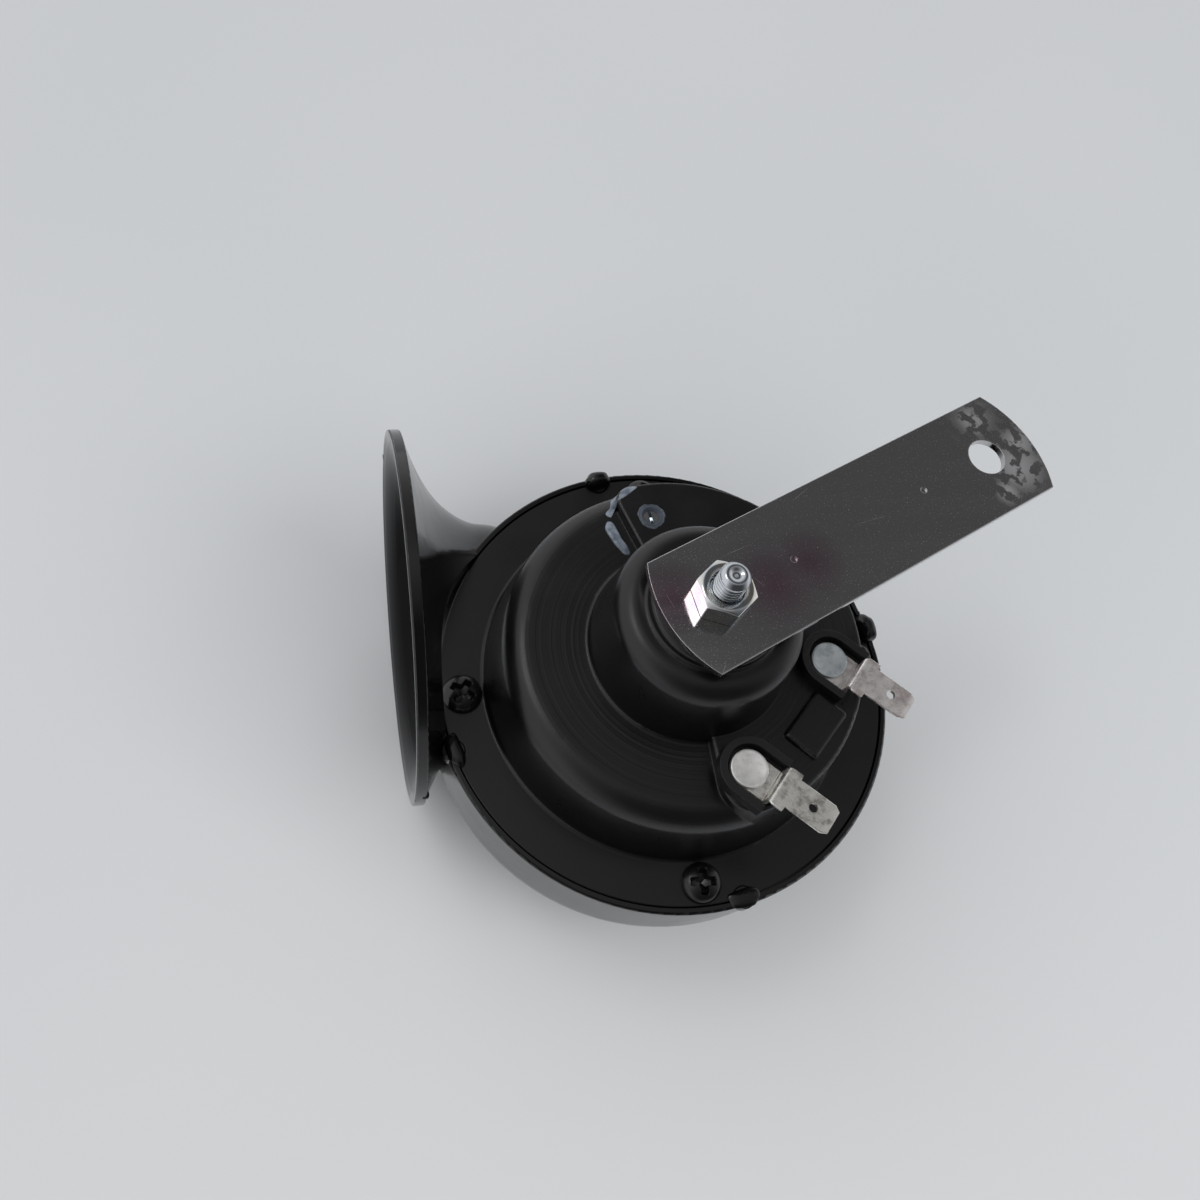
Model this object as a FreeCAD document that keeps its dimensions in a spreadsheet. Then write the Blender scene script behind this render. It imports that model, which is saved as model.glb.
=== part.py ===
import FreeCAD, Part
import math
import os

import Sketcher
from FreeCAD import Placement, Rotation, Vector

# A snail type car horn with its mounting strap, in millimetres.
# The origin is the centre of the strap's mounting hole, on the strap's upper face.
# Z points out of the back of the horn, along the hole and the mounting stud.
# Heights in the sizes count from the upper face of the housing's flange.
# X points away from the trumpet's mouth.

os.makedirs("parts", exist_ok=True)
document = FreeCAD.newDocument("car_horn")

# Driving dimensions
SIZES = {
    "sheet_thick": 1.2,
    "flange_radius": 48.5,
    "flange_width": 9.1,
    "wall_lean": 0.1625,
    "plateau_height": 18.0,
    "shoulder_round": 5.0,
    "foot_round": 0.8,
    "platform_height": 20.5,
    "platform_start": -90.0,
    "platform_sweep": 197.0,
    "platform_screw_corner": 3.6,
    "platform_terminal_corner": 6.5,
    "platform_round": 0.7,
    "platform_root": 12.0,
    "platform_inner_margin": 2.6,
    "block_inset": 14.0,
    "block_shift": 2.0,
    "block_depth": 7.7,
    "block_width": 12.4,
    "block_height": 1.3,
    "dome_foot_radius": 20.4,
    "dome_lean": 0.126,
    "dome_height": 36.6,
    "dome_round": 4.0,
    "boss_radius": 12.65,
    "boss_height": 38.9,
    "strap_thick": 1.5,
    "strap_width": 24.6,
    "strap_turn": 22.9,
    "strap_tail": 8.25,
    "strap_reach": 78.25,
    "strap_end_radius": 25.5,
    "strap_edge": 0.2,
    "strap_hole_reach": 69.5,
    "strap_hole_diameter": 8.0,
    "dimple_near": 17.5,
    "dimple_far": 51.5,
    "dimple_diameter": 1.3,
    "dimple_depth": 0.35,
    "nut_flats": 10.0,
    "nut_height": 5.0,
    "nut_turn": 37.7,
    "nut_chamfer": 0.5,
    "stud_diameter": 5.8,
    "stud_top": 50.5,
    "stud_chamfer": 0.9,
    "thread_gap": 0.1,
    "thread_pitch": 1.0,
    "thread_depth": 0.5,
    "thread_mouth": 0.9,
    "running_gap": 0.7,
    "core_radius": 8.0,
    "core_bottom": 22.0,
    "core_head_radius": 10.4,
    "core_head_thick": 2.3,
    "flange_screw_inset": 4.4,
    "flange_screw_head": 8.2,
    "flange_screw_head_height": 2.5,
    "flange_screw_crown": 1.0,
    "flange_screw_shank": 3.9,
    "flange_screw_length": 12.0,
    "flange_screw_first": 180.0,
    "flange_screw_second": 268.3,
    "flange_screw_third": 0.0,
    "flange_screw_fourth": 87.0,
    "cross_turn_first": 53.0,
    "cross_turn_second": -6.0,
    "cross_turn_third": 21.0,
    "cross_turn_fourth": 70.0,
    "cross_slot_width": 1.2,
    "cross_slot_length": 4.6,
    "cross_slot_depth": 1.7,
    "post_overhang": 0.1,
    "post_radius": 2.2,
    "post_height": 3.0,
    "post_gap": 0.2,
    "post_first": 194.0,
    "post_second": 278.2,
    "post_third": 7.8,
    "post_fourth": 98.8,
    "terminal_inset": 11.4,
    "terminal_axis": -47.3,
    "terminal_spread": 31.7,
    "terminal_turn": -44.5,
    "blade_width": 6.3,
    "blade_thick": 0.8,
    "bend_radius": 0.3,
    "blade_start": 8.8,
    "blade_end": 17.9,
    "blade_height": 25.3,
    "blade_shoulder_start": 6.0,
    "blade_shoulder_width": 8.5,
    "blade_tip_width": 4.9,
    "blade_tip_length": 1.3,
    "blade_hole_distance": 13.3,
    "blade_hole_diameter": 1.8,
    "leg_width": 7.4,
    "leg_end": 5.4,
    "rivet_head_radius": 3.8,
    "rivet_head_thick": 0.9,
    "rivet_shank_radius": 1.8,
    "rivet_tail_radius": 3.0,
    "rivet_tail_thick": 0.8,
    "tray_floor": 0.5,
    "tray_outer_half": 6.1,
    "tray_wall": 1.5,
    "tray_arm": 6.0,
    "tray_height": 3.0,
    "inner_washer_radius": 3.8,
    "inner_washer_thick": 1.0,
    "adjuster_inset": 11.2,
    "adjuster_angle": 96.3,
    "adjuster_radius": 2.0,
    "adjuster_below_top": 0.5,
    "adjuster_slot_width": 0.6,
    "adjuster_slot_depth": 0.8,
    "lacquer_radius": 2.6,
    "lacquer_depth": 2.4,
    "lacquer_proud": 0.15,
    "lacquer_skin": 0.3,
    "gasket_thick": 0.3,
    "diaphragm_thick": 0.5,
    "diaphragm_edge": 0.3,
    "clamp_width": 8.5,
    "diaphragm_washer_radius": 9.0,
    "diaphragm_washer_thick": 0.8,
    "armature_radius": 8.0,
    "armature_collar_radius": 10.5,
    "armature_collar_bottom": 8.0,
    "armature_collar_thick": 1.5,
    "armature_tail_radius": 3.0,
    "armature_head_radius": 4.8,
    "armature_head_thick": 1.0,
    "pole_plate_radius": 23.5,
    "pole_plate_thick": 1.5,
    "bobbin_height": 17.6,
    "bobbin_flange_radius": 15.8,
    "bobbin_flange_thick": 1.2,
    "bobbin_hub_wall": 1.4,
    "bobbin_gap": 0.4,
    "winding_radius": 14.8,
    "arm_bottom": 10.0,
    "arm_thick": 0.5,
    "arm_width": 6.5,
    "contact_radius": 1.8,
    "contact_thick": 0.8,
    "stack_x": 22.0,
    "stack_y": 19.0,
    "stack_radius": 4.0,
    "stack_rivet_radius": 1.6,
    "stack_head_radius": 2.8,
    "stack_head_thick": 0.9,
    "stack_base": 1.0,
    "contact_reach": 19.0,
    "rim_gap": 0.35,
    "rim_wall": 1.25,
    "rim_top": 0.3,
    "rim_band": 2.4,
    "rim_edge": 0.5,
    "rim_step": 0.1,
    "seat_width": 9.0,
    "shell_floor": 30.0,
    "belly_round": 13.5,
    "cover_top": 4.2,
    "cover_thick": 1.8,
    "cover_gap": 0.15,
    "throat_radius": 4.0,
    "throat_shift": 3.0,
    "throat_depth": 15.0,
    "duct_wall": 2.2,
    "duct_top": 7.0,
    "duct_bottom": 41.0,
    "duct_start_bottom": 24.0,
    "duct_start_angle": -270.0,
    "duct_sweep": 360.0,
    "duct_drop_share": 0.65,
    "duct_start_circle": 8.0,
    "duct_end_circle": 26.0,
    "duct_start_half": 6.0,
    "duct_end_half": 14.5,
    "neck_x": -30.0,
    "neck_y": 24.6,
    "neck_depth": 21.5,
    "neck_half_height": 17.0,
    "mouth_x": -55.21,
    "mouth_y": 21.2,
    "mouth_z": -7.13,
    "mouth_radius": 40.4,
    "mouth_yaw": 0.1,
    "mouth_pitch": -0.7,
    "lip_width": 2.4,
    "lip_edge": 0.7,
    "flare_base": 21.0,
    "flare_rise": 18.9,
    "flare_decay": 8.7,
    "flare_settle": 10.0,
    "flare_hollow_start": 2.0,
}

sheet = document.addObject("Spreadsheet::Sheet", "Sizes")
for row, (alias, number) in enumerate(SIZES.items(), start=1):
    sheet.set("A%d" % row, alias)
    sheet.set("B%d" % row, repr(number))
    sheet.setAlias("B%d" % row, alias)
document.recompute()


class Size:
    """A number together with the sheet expression that gives it."""

    def __init__(self, number, text):
        self.number = number
        self.text = text

    def joined(self, other, sign, result):
        text = other.text if isinstance(other, Size) else repr(other)
        return Size(result, "(%s %s %s)" % (self.text, sign, text))

    def __add__(self, other):
        return self.joined(other, "+", self.number + plain(other))

    def __sub__(self, other):
        return self.joined(other, "-", self.number - plain(other))

    def __mul__(self, other):
        return self.joined(other, "*", self.number * plain(other))

    def __truediv__(self, other):
        return self.joined(other, "/", self.number / plain(other))

    def __neg__(self):
        return Size(-self.number, "(0 - %s)" % self.text)


def plain(value):
    return value.number if isinstance(value, Size) else value


def size(alias):
    return Size(float(sheet.get(alias)), "Sizes.%s" % alias)


def cosine(angle):
    return Size(math.cos(math.radians(angle.number)), "cos(%s)" % angle.text)


def sine(angle):
    return Size(math.sin(math.radians(angle.number)), "sin(%s)" % angle.text)


def arctangent(rise, run):
    angle = math.degrees(math.atan2(rise.number, run.number))
    return Size(angle, "atan2(%s; %s)" % (rise.text, run.text))


ZERO = Size(0.0, "0")
THREAD_TURNS = 10
HEXAGON = 6
CUTTER_OVERRUN = 1.0
SCREW_WORDS = ("first", "second", "third", "fourth")

# The mounting hole as seen from the stud's axis and the flange
hole_x = size("strap_hole_reach") * cosine(size("strap_turn"))
hole_y = size("strap_hole_reach") * sine(size("strap_turn"))
hole_z = size("boss_height") + size("strap_thick")

# Radii that follow the flange
wall_foot = size("flange_radius") - size("flange_width")
screw_circle = size("flange_radius") - size("flange_screw_inset")
post_circle = size("flange_radius") + size("post_overhang")
rim_radius = size("flange_radius") + size("rim_gap") + size("rim_wall")
shell_radius = rim_radius - size("rim_step")
seat_radius = size("flange_radius") - size("seat_width")
clamp_radius = size("flange_radius") - size("clamp_width")
adjuster_distance = wall_foot - size("adjuster_inset")
terminal_circle = wall_foot - size("terminal_inset")
block_distance = wall_foot - size("block_inset")


def bind(item, name, value):
    """Ties a property of an object to the sheet."""
    if isinstance(value, Size):
        item.setExpression(name, value.text)
    else:
        setattr(item, name, value)


def new_body(name):
    body = document.addObject("PartDesign::Body", name)
    body.Label = name
    return body


def origin_feature(body, role):
    return next(item for item in body.Origin.OriginFeatures if item.Role == role)


def place(item, x=ZERO, y=ZERO, z=ZERO, turn=ZERO):
    """Puts an object at x, y, z from the stud's axis and the flange, and turns it about Z."""
    x = x - hole_x
    y = y - hole_y
    z = z - hole_z
    item.Placement = Placement(Vector(x.number, y.number, z.number), Rotation(Vector(0, 0, 1), turn.number))
    item.setExpression("Placement.Base.x", x.text)
    item.setExpression("Placement.Base.y", y.text)
    item.setExpression("Placement.Base.z", z.text)
    item.setExpression("Placement.Rotation.Angle", turn.text)


def new_sketch(body, name, plane="XY_Plane", lift=ZERO):
    sketch = body.newObject("Sketcher::SketchObject", name)
    sketch.AttachmentSupport = [(origin_feature(body, plane), "")]
    sketch.MapMode = "FlatFace"
    sketch.AttachmentOffset = Placement(Vector(0, 0, lift.number), Rotation())
    sketch.setExpression("AttachmentOffset.Base.z", lift.text)
    return sketch


def add_outline(sketch, corners, bulges=()):
    """Adds a closed outline through the corners.

    A bulge gives the radius of the edge after its corner, or None for a half round on an upright edge.
    """
    bulges = dict(bulges)
    points = [Vector(plain(x), plain(y), 0) for x, y in corners]
    first = sketch.GeometryCount
    count = len(points)
    for index, start in enumerate(points):
        end = points[(index + 1) % count]
        if index in bulges:
            chord = end - start
            radius = bulges[index].number if bulges[index] else chord.Length / 2
            middle = (start + end) * 0.5
            side = Vector(chord.y, -chord.x, 0).normalize()
            rise = radius - math.sqrt(max(radius ** 2 - (chord.Length / 2) ** 2, 0.0))
            sketch.addGeometry(Part.Arc(start, middle + side * rise, end), False)
        else:
            sketch.addGeometry(Part.LineSegment(start, end), False)
    tail = {}
    head = {}
    for index in range(count):
        edge = sketch.Geometry[first + index]
        is_arc = isinstance(edge, Part.ArcOfCircle)
        swapped = is_arc and edge.StartPoint.distanceToPoint(points[index]) > 1e-6
        tail[index] = 2 if swapped else 1
        head[index] = 1 if swapped else 2
    for index in range(count):
        follower = (index + 1) % count
        sketch.addConstraint(Sketcher.Constraint(
            "Coincident", first + index, head[index], first + follower, tail[follower]))
    for index, (x, y) in enumerate(corners):
        for kind, value in (("DistanceX", x), ("DistanceY", y)):
            number = sketch.addConstraint(Sketcher.Constraint(
                kind, -1, 1, first + index, tail[index], plain(value)))
            if isinstance(value, Size):
                sketch.setExpression("Constraints[%d]" % number, value.text)
    for index, radius in bulges.items():
        if radius:
            number = sketch.addConstraint(Sketcher.Constraint("Radius", first + index, radius.number))
            sketch.setExpression("Constraints[%d]" % number, radius.text)
        else:
            sketch.addConstraint(Sketcher.Constraint(
                "DistanceX", -1, 1, first + index, 3, plain(corners[index][0])))


def add_circle(sketch, x, y, radius):
    circle = Part.Circle(Vector(plain(x), plain(y), 0), Vector(0, 0, 1), plain(radius))
    index = sketch.addGeometry(circle, False)
    for kind, value in (("DistanceX", x), ("DistanceY", y)):
        number = sketch.addConstraint(Sketcher.Constraint(kind, -1, 1, index, 3, plain(value)))
        if isinstance(value, Size):
            sketch.setExpression("Constraints[%d]" % number, value.text)
    number = sketch.addConstraint(Sketcher.Constraint("Radius", index, plain(radius)))
    if isinstance(radius, Size):
        sketch.setExpression("Constraints[%d]" % number, radius.text)


def feature(body, kind, name, sketch):
    item = body.newObject("PartDesign::" + kind, name)
    item.Profile = sketch
    sketch.Visibility = False
    return item


def pad(body, name, sketch, length, both_ways=False):
    item = feature(body, "Pad", name, sketch)
    bind(item, "Length", length)
    if both_ways:
        item.SideType = "Symmetric"
    return item


def pocket(body, name, sketch, depth=None, reverse=False):
    """Cuts a sketch downward by a depth, or through everything both ways when no depth is given."""
    before = body.Tip
    document.recompute()
    volume = before.Shape.Volume
    item = feature(body, "Pocket", name, sketch)
    if depth is None:
        item.SideType = "Symmetric"
        item.Type = "ThroughAll"
    else:
        bind(item, "Length", depth)
    item.Reversed = reverse
    document.recompute()
    if item.Shape.Volume >= volume - 1e-6:
        raise RuntimeError("%s of %s cuts nothing" % (name, body.Label))
    return item


def revolved(body, name, corners, kind="Revolution"):
    """Turns an outline in the XZ plane about the body's Z axis."""
    sketch = new_sketch(body, name + "_profile", "XZ_Plane")
    add_outline(sketch, corners)
    item = feature(body, kind, name, sketch)
    item.ReferenceAxis = (sketch, ["V_Axis"])
    item.Angle = 360.0
    return item


def round_edges(body, name, radius, picked, kind="Fillet"):
    """Rounds the edges of the body that picked(edge) accepts."""
    document.recompute()
    base = body.Tip
    edges = ["Edge%d" % (index + 1) for index, edge in enumerate(base.Shape.Edges) if picked(edge)]
    if not edges:
        raise RuntimeError("%s of %s finds no edge" % (name, body.Label))
    item = body.newObject("PartDesign::" + kind, name)
    item.Base = (base, edges)
    bind(item, "Radius" if kind == "Fillet" else "Size", radius)
    return item


def ring_edge(radius, height, slack=0.02):
    """Accepts an edge that lies on a circle about Z with this radius and height."""
    def picked(edge):
        box = edge.BoundBox
        if box.ZLength > slack or abs(box.ZMin - plain(height)) > slack:
            return False
        return all(abs(math.hypot(v.X, v.Y) - plain(radius)) < slack for v in edge.Vertexes)
    return picked


def cross_edge(x, z, slack=1e-3):
    """Accepts an edge that runs along Y at this x and z."""
    def picked(edge):
        box = edge.BoundBox
        if box.YLength < 1.0 or box.ZLength > slack:
            return False
        middle = edge.CenterOfMass
        return abs(middle.x - plain(x)) < slack and abs(middle.z - plain(z)) < slack
    return picked


def around(circle, angle):
    """The sheet expressions of a point on a circle about the stud."""
    return circle * cosine(angle), circle * sine(angle)


def value(alias):
    """A number from the sheet, for the shapes that are built directly."""
    return float(sheet.get(alias))


def new_feature(name, shape):
    item = document.addObject("Part::Feature", name)
    item.Label = name
    item.Shape = shape
    place(item)


def rounded_wire(corners, rounds):
    """A closed wire in the XZ plane, with an arc of the given radius at the numbered corners."""
    count = len(corners)
    points = [Vector(x, 0, z) for x, z in corners]
    starts = []
    ends = []
    middles = []
    for index, corner in enumerate(points):
        radius = rounds.get(index, 0.0)
        if not radius:
            starts.append(corner)
            ends.append(corner)
            middles.append(None)
            continue
        before = (points[index - 1] - corner).normalize()
        after = (points[(index + 1) % count] - corner).normalize()
        half = before.getAngle(after) / 2
        reach = radius / math.tan(half)
        inward = (before + after).normalize()
        centre = corner + inward * (radius / math.sin(half))
        starts.append(corner + before * reach)
        ends.append(corner + after * reach)
        middles.append(centre - inward * radius)
    edges = []
    for index in range(count):
        if middles[index]:
            edges.append(Part.Arc(starts[index], middles[index], ends[index]).toShape())
        follower = (index + 1) % count
        if ends[index].distanceToPoint(starts[follower]) > 1e-6:
            edges.append(Part.LineSegment(ends[index], starts[follower]).toShape())
    return Part.Wire(edges)


def turned(corners, rounds=None, start=0.0, sweep=360.0):
    """A solid made by turning a profile about the stud's axis."""
    face = Part.Face(rounded_wire(corners, rounds or {}))
    face.rotate(Vector(), Vector(0, 0, 1), start)
    return face.revolve(Vector(), Vector(0, 0, 1), sweep)


def points_on_circle(angles, circle):
    turns = [math.radians(angle) for angle in angles]
    return [Vector(circle * math.cos(turn), circle * math.sin(turn), 0) for turn in turns]


def upright(position, radius, bottom, top):
    """An upright cylinder between two heights."""
    return Part.makeCylinder(radius, top - bottom, Vector(position.x, position.y, bottom))


SCREW_ALIASES = ["flange_screw_" + word for word in SCREW_WORDS]
POST_ALIASES = ["post_" + word for word in SCREW_WORDS]
screw_points = points_on_circle([value(alias) for alias in SCREW_ALIASES], screw_circle.number)
post_points = points_on_circle([value(alias) for alias in POST_ALIASES], post_circle.number)
sheet_thick = value("sheet_thick")
screw_hole_radius = value("flange_screw_shank") / 2 + value("thread_gap")


def wall_radius(height):
    return wall_foot.number - value("wall_lean") * height


def dome_radius(height):
    return value("dome_foot_radius") - value("dome_lean") * (height - value("plateau_height"))


# Rear housing: one steel sheet pressed to a flange, a leaning wall, a flat plateau,
# a domed coil cup with a seat for the strap, and a raised sector for the terminals.
def round_pressing(inset, bottom, outer_corners):
    """The turned form of the pressing, or with an inset the hollow under its sheet."""
    plateau = value("plateau_height")
    dome = value("dome_height")
    corners = outer_corners + [
        (wall_radius(plateau) - inset, plateau - inset),
        (dome_radius(plateau) - inset, plateau - inset),
        (dome_radius(dome) - inset, dome - inset),
        (value("boss_radius") - inset, dome - inset),
        (value("boss_radius") - inset, value("boss_height") - inset),
        (0.0, value("boss_height") - inset),
        (0.0, bottom),
    ]
    first = len(outer_corners)
    foot = value("foot_round")
    rounds = {
        first: value("shoulder_round") - inset,
        first + 1: foot + inset,
        first + 2: value("dome_round") - inset,
        first + 3: foot,
        first + 4: foot,
    }
    if len(outer_corners) > 2:
        rounds[first - 1] = foot
    return turned(corners, rounds)


def raised_sector(inset, margin):
    """The terminal platform, with the rounded corners of its step."""
    root = value("platform_root")
    top = value("platform_height") - inset
    inner = dome_radius(value("dome_height"))
    sector = turned(
        [(inner, root), (wall_radius(root) - inset, root), (wall_radius(top) - inset, top), (inner, top)],
        start=value("platform_start") + margin,
        sweep=value("platform_sweep") - 2 * margin,
    )
    first_angle = value("platform_start")
    uprights = [
        edge for edge in sector.Edges
        if edge.BoundBox.ZLength > (top - root) / 2
        and math.hypot(edge.CenterOfMass.x, edge.CenterOfMass.y) > adjuster_distance.number
    ]
    for edge in uprights:
        angle = math.degrees(math.atan2(edge.CenterOfMass.y, edge.CenterOfMass.x)) % 360
        near_terminal = abs(angle - first_angle % 360) < value("platform_sweep") / 4
        radius = value("platform_terminal_corner" if near_terminal else "platform_screw_corner")
        match = min(sector.Edges, key=lambda other: other.CenterOfMass.distanceToPoint(edge.CenterOfMass))
        sector = sector.makeFillet(radius - inset, [match])
    if inset:
        return sector
    crest = [
        edge for edge in sector.Edges
        if abs(edge.BoundBox.ZMin - top) < 1e-3 and edge.BoundBox.ZLength < 1e-3
        and max(math.hypot(v.X, v.Y) for v in edge.Vertexes) > adjuster_distance.number
    ]
    return sector.makeFillet(value("platform_round"), crest)


def terminal_block(inset):
    """The rectangular bulge between the terminals, square to the line that joins them."""
    depth = value("block_depth") - 2 * inset
    width = value("block_width") - 2 * inset
    base = value("platform_height") - 2 * sheet_thick
    top = value("platform_height") + value("block_height") - inset
    block = Part.makeBox(depth, width, top - base, Vector())
    block.translate(Vector(block_distance.number + inset, value("block_shift") - width / 2, base))
    block.rotate(Vector(), Vector(0, 0, 1), value("terminal_axis"))
    if inset:
        return block
    edges = [edge for edge in block.Edges if edge.BoundBox.ZMax > base + 1e-3]
    return block.makeFillet(value("foot_round"), edges)


def make_rear_housing():
    flange = value("flange_radius")
    foot = wall_foot.number
    outside = round_pressing(0.0, -sheet_thick, [(flange, -sheet_thick), (flange, 0.0), (foot, 0.0)])
    outside = outside.fuse([raised_sector(0.0, 0.0), terminal_block(0.0)])
    below = -2 * sheet_thick
    inside = round_pressing(sheet_thick, below, [(foot - sheet_thick, below)])
    hollow_sector = raised_sector(sheet_thick, value("platform_inner_margin"))
    inside = inside.fuse([hollow_sector, terminal_block(sheet_thick)])
    shape = outside.cut(inside)
    top = value("boss_height") + CUTTER_OVERRUN
    holes = [upright(Vector(), value("stud_diameter") / 2 + value("thread_gap"), 0.0, top)]
    holes += [upright(p, screw_hole_radius, below, CUTTER_OVERRUN) for p in screw_points]
    notch_radius = value("post_radius") + value("post_gap")
    holes += [upright(p, notch_radius, below, CUTTER_OVERRUN) for p in post_points]
    for position in terminal_points:
        holes.append(upright(position, value("rivet_shank_radius") + tray_sleeve, 0.0, top))
    holes.append(upright(adjuster_point, value("lacquer_radius"), 0.0, top))
    holes.append(upright(stack_point, value("stack_rivet_radius"), 0.0, top))
    return shape.cut(holes).removeSplitter()


tray_sleeve = value("tray_floor")
terminal_angles = [value("terminal_axis") + value("terminal_spread") * side for side in (-1, 1)]
terminal_points = points_on_circle(terminal_angles, terminal_circle.number)
adjuster_point = points_on_circle([value("adjuster_angle")], adjuster_distance.number)[0]
stack_point = Vector(value("stack_x"), value("stack_y"), 0)
new_feature("rear_housing", make_rear_housing())


# Trumpet shell: one plastic moulding. A rim holds the flange, a spiral duct grows
# round the shell, and the duct ends in the flared mouth with its thick lip.
def oval(centre, heading, across, up):
    """A closed oval section of the duct, square to its heading."""
    heading = Vector(heading).normalize()
    inward = Vector(0, 0, 1).cross(heading).normalize()
    upward = heading.cross(inward).normalize()
    points = []
    for step in range(SECTION_POINTS):
        turn = 2 * math.pi * step / SECTION_POINTS
        points.append(centre + inward * (across * math.cos(turn)) + upward * (up * math.sin(turn)))
    curve = Part.BSplineCurve()
    curve.interpolate(Points=points, PeriodicFlag=True)
    return Part.Wire(curve.toShape())


SECTION_POINTS = 16
SPIRAL_SECTIONS = 13
STRAIGHT_SECTIONS = 4
FLARE_STEPS = range(10)
mouth_centre = Vector(value("mouth_x"), value("mouth_y"), value("mouth_z"))
yaw = math.radians(value("mouth_yaw"))
pitch = math.radians(value("mouth_pitch"))
mouth_heading = Vector(
    -math.cos(yaw) * math.cos(pitch), math.sin(yaw) * math.cos(pitch), -math.sin(pitch))
duct_heading = Vector(-1, 0, 0)
neck = Vector(value("neck_x"), value("neck_y"), -value("neck_depth"))


def spiral_duct(inset):
    """The duct from the throat round the shell to the neck."""
    sections = []
    for step in range(SPIRAL_SECTIONS):
        share = step / (SPIRAL_SECTIONS - 1)
        angle = math.radians(value("duct_start_angle") + value("duct_sweep") * share)
        circle = value("duct_start_circle") + (value("duct_end_circle") - value("duct_start_circle")) * share
        across = value("duct_start_half") + (value("duct_end_half") - value("duct_start_half")) * share
        drop = math.sin(min(share / value("duct_drop_share"), 1.0) * math.pi / 2)
        bottom = value("duct_start_bottom") + (value("duct_bottom") - value("duct_start_bottom")) * drop
        middle = -(value("duct_top") + bottom) / 2
        up = (bottom - value("duct_top")) / 2
        centre = Vector(circle * math.cos(angle), circle * math.sin(angle), middle)
        heading = Vector(-math.sin(angle), math.cos(angle), 0)
        sections.append(oval(centre, heading, across - inset, up - inset))
    start = Vector(0, value("duct_end_circle"), -(value("duct_top") + value("duct_bottom")) / 2)
    start_up = (value("duct_bottom") - value("duct_top")) / 2
    neck_across = flare_radius(flare_length())
    for step in range(1, STRAIGHT_SECTIONS + 1):
        share = step / STRAIGHT_SECTIONS
        centre = start + (neck - start) * share
        across = value("duct_end_half") + (neck_across - value("duct_end_half")) * share
        up = start_up + (value("neck_half_height") - start_up) * share
        sections.append(oval(centre, duct_heading, across - inset, up - inset))
    return Part.makeLoft(sections, True, False)


def flare_length():
    return neck.x - mouth_centre.x


def flare_radius(depth):
    """The outside of the bell opens ever faster towards the lip."""
    behind = max(depth - value("lip_width"), 0.0)
    return value("flare_base") + value("flare_rise") * math.exp(-behind / value("flare_decay"))


def flare_section(depth, radius):
    """A section of the bell at a depth behind the mouth, round at the lip and oval at the neck."""
    length = flare_length()
    behind = max(depth - value("lip_width"), 0.0)
    share = behind / (length - value("lip_width"))
    settle = 1 - math.exp(-behind / value("flare_settle"))
    flat = flare_radius(length) - value("neck_half_height")
    centre = Vector(
        mouth_centre.x + depth,
        mouth_centre.y + (neck.y - mouth_centre.y) * share,
        mouth_centre.z + (neck.z - mouth_centre.z) * settle,
    )
    heading = mouth_heading * (1 - share) + duct_heading * share
    return oval(centre, heading, radius, radius - flat * settle)


def spread(first, last):
    """Depths that lie closer together near the lip."""
    ratio = (last / first) ** (1 / FLARE_STEPS[-1])
    return [first * ratio ** step for step in FLARE_STEPS]


def bell_outside():
    depths = spread(value("lip_width"), flare_length())
    return Part.makeLoft([flare_section(depth, flare_radius(depth)) for depth in depths], True, False)


def bell_inside():
    """The bell's hollow: the mouth's edge, the turn of the lip, then a wall's depth inside the flare."""
    wall = value("duct_wall")
    edge = value("lip_edge")
    radius = value("mouth_radius")
    sections = [
        flare_section(-edge, radius - edge / 4),
        flare_section(edge / 2, radius - wall),
    ]
    for depth in spread(value("flare_hollow_start"), flare_length()):
        sections.append(flare_section(depth, flare_radius(depth + wall) - wall))
    return Part.makeLoft(sections, True, False)


def rim_and_cup():
    """The turned outside of the shell, with its rounded belly."""
    rim = rim_radius.number
    radius = shell_radius.number
    floor = -value("shell_floor")
    corners = [
        (0.0, floor), (radius, floor), (radius, -value("rim_band")), (rim, -value("rim_band")),
        (rim, value("rim_top")), (0.0, value("rim_top")),
    ]
    return turned(corners, {1: value("belly_round"), 4: value("rim_edge")})


def make_trumpet_shell():
    seat = -sheet_thick - gasket_stack
    above = value("mouth_radius") * 2
    lip = Part.makeCylinder(
        value("mouth_radius"), value("lip_width"), mouth_centre, mouth_heading * -1)
    rims = [edge for edge in lip.Edges if edge.Curve.TypeId == "Part::GeomCircle"]
    lip = lip.makeFillet(value("lip_edge") / 2, rims)
    bell_hollow = bell_inside()
    shape = rim_and_cup().fuse(spiral_duct(0.0).fuse(bell_outside()))
    shape = shape.cut(spiral_duct(value("duct_wall"))).cut(bell_hollow)
    shape = shape.cut([
        upright(Vector(), value("flange_radius") + value("rim_gap"), seat, above),
        upright(Vector(), seat_radius.number, -chamber_depth, above),
        upright(throat_point, value("throat_radius"), -value("throat_depth"), above),
    ])
    posts = [upright(p, value("post_radius"), seat, value("post_height")) for p in post_points]
    shape = shape.fuse([lip.cut(bell_hollow)] + posts)
    reach = seat - value("flange_screw_length")
    holes = [upright(p, value("flange_screw_shank") / 2, reach, 0.0) for p in screw_points]
    return shape.cut(holes)


chamber_depth = value("cover_top") + value("cover_thick")
throat_point = Vector(-value("throat_shift"), value("duct_start_circle"), 0)
gasket_stack = 2 * value("gasket_thick") + value("diaphragm_thick")
new_feature("trumpet_shell", make_trumpet_shell())


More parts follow.
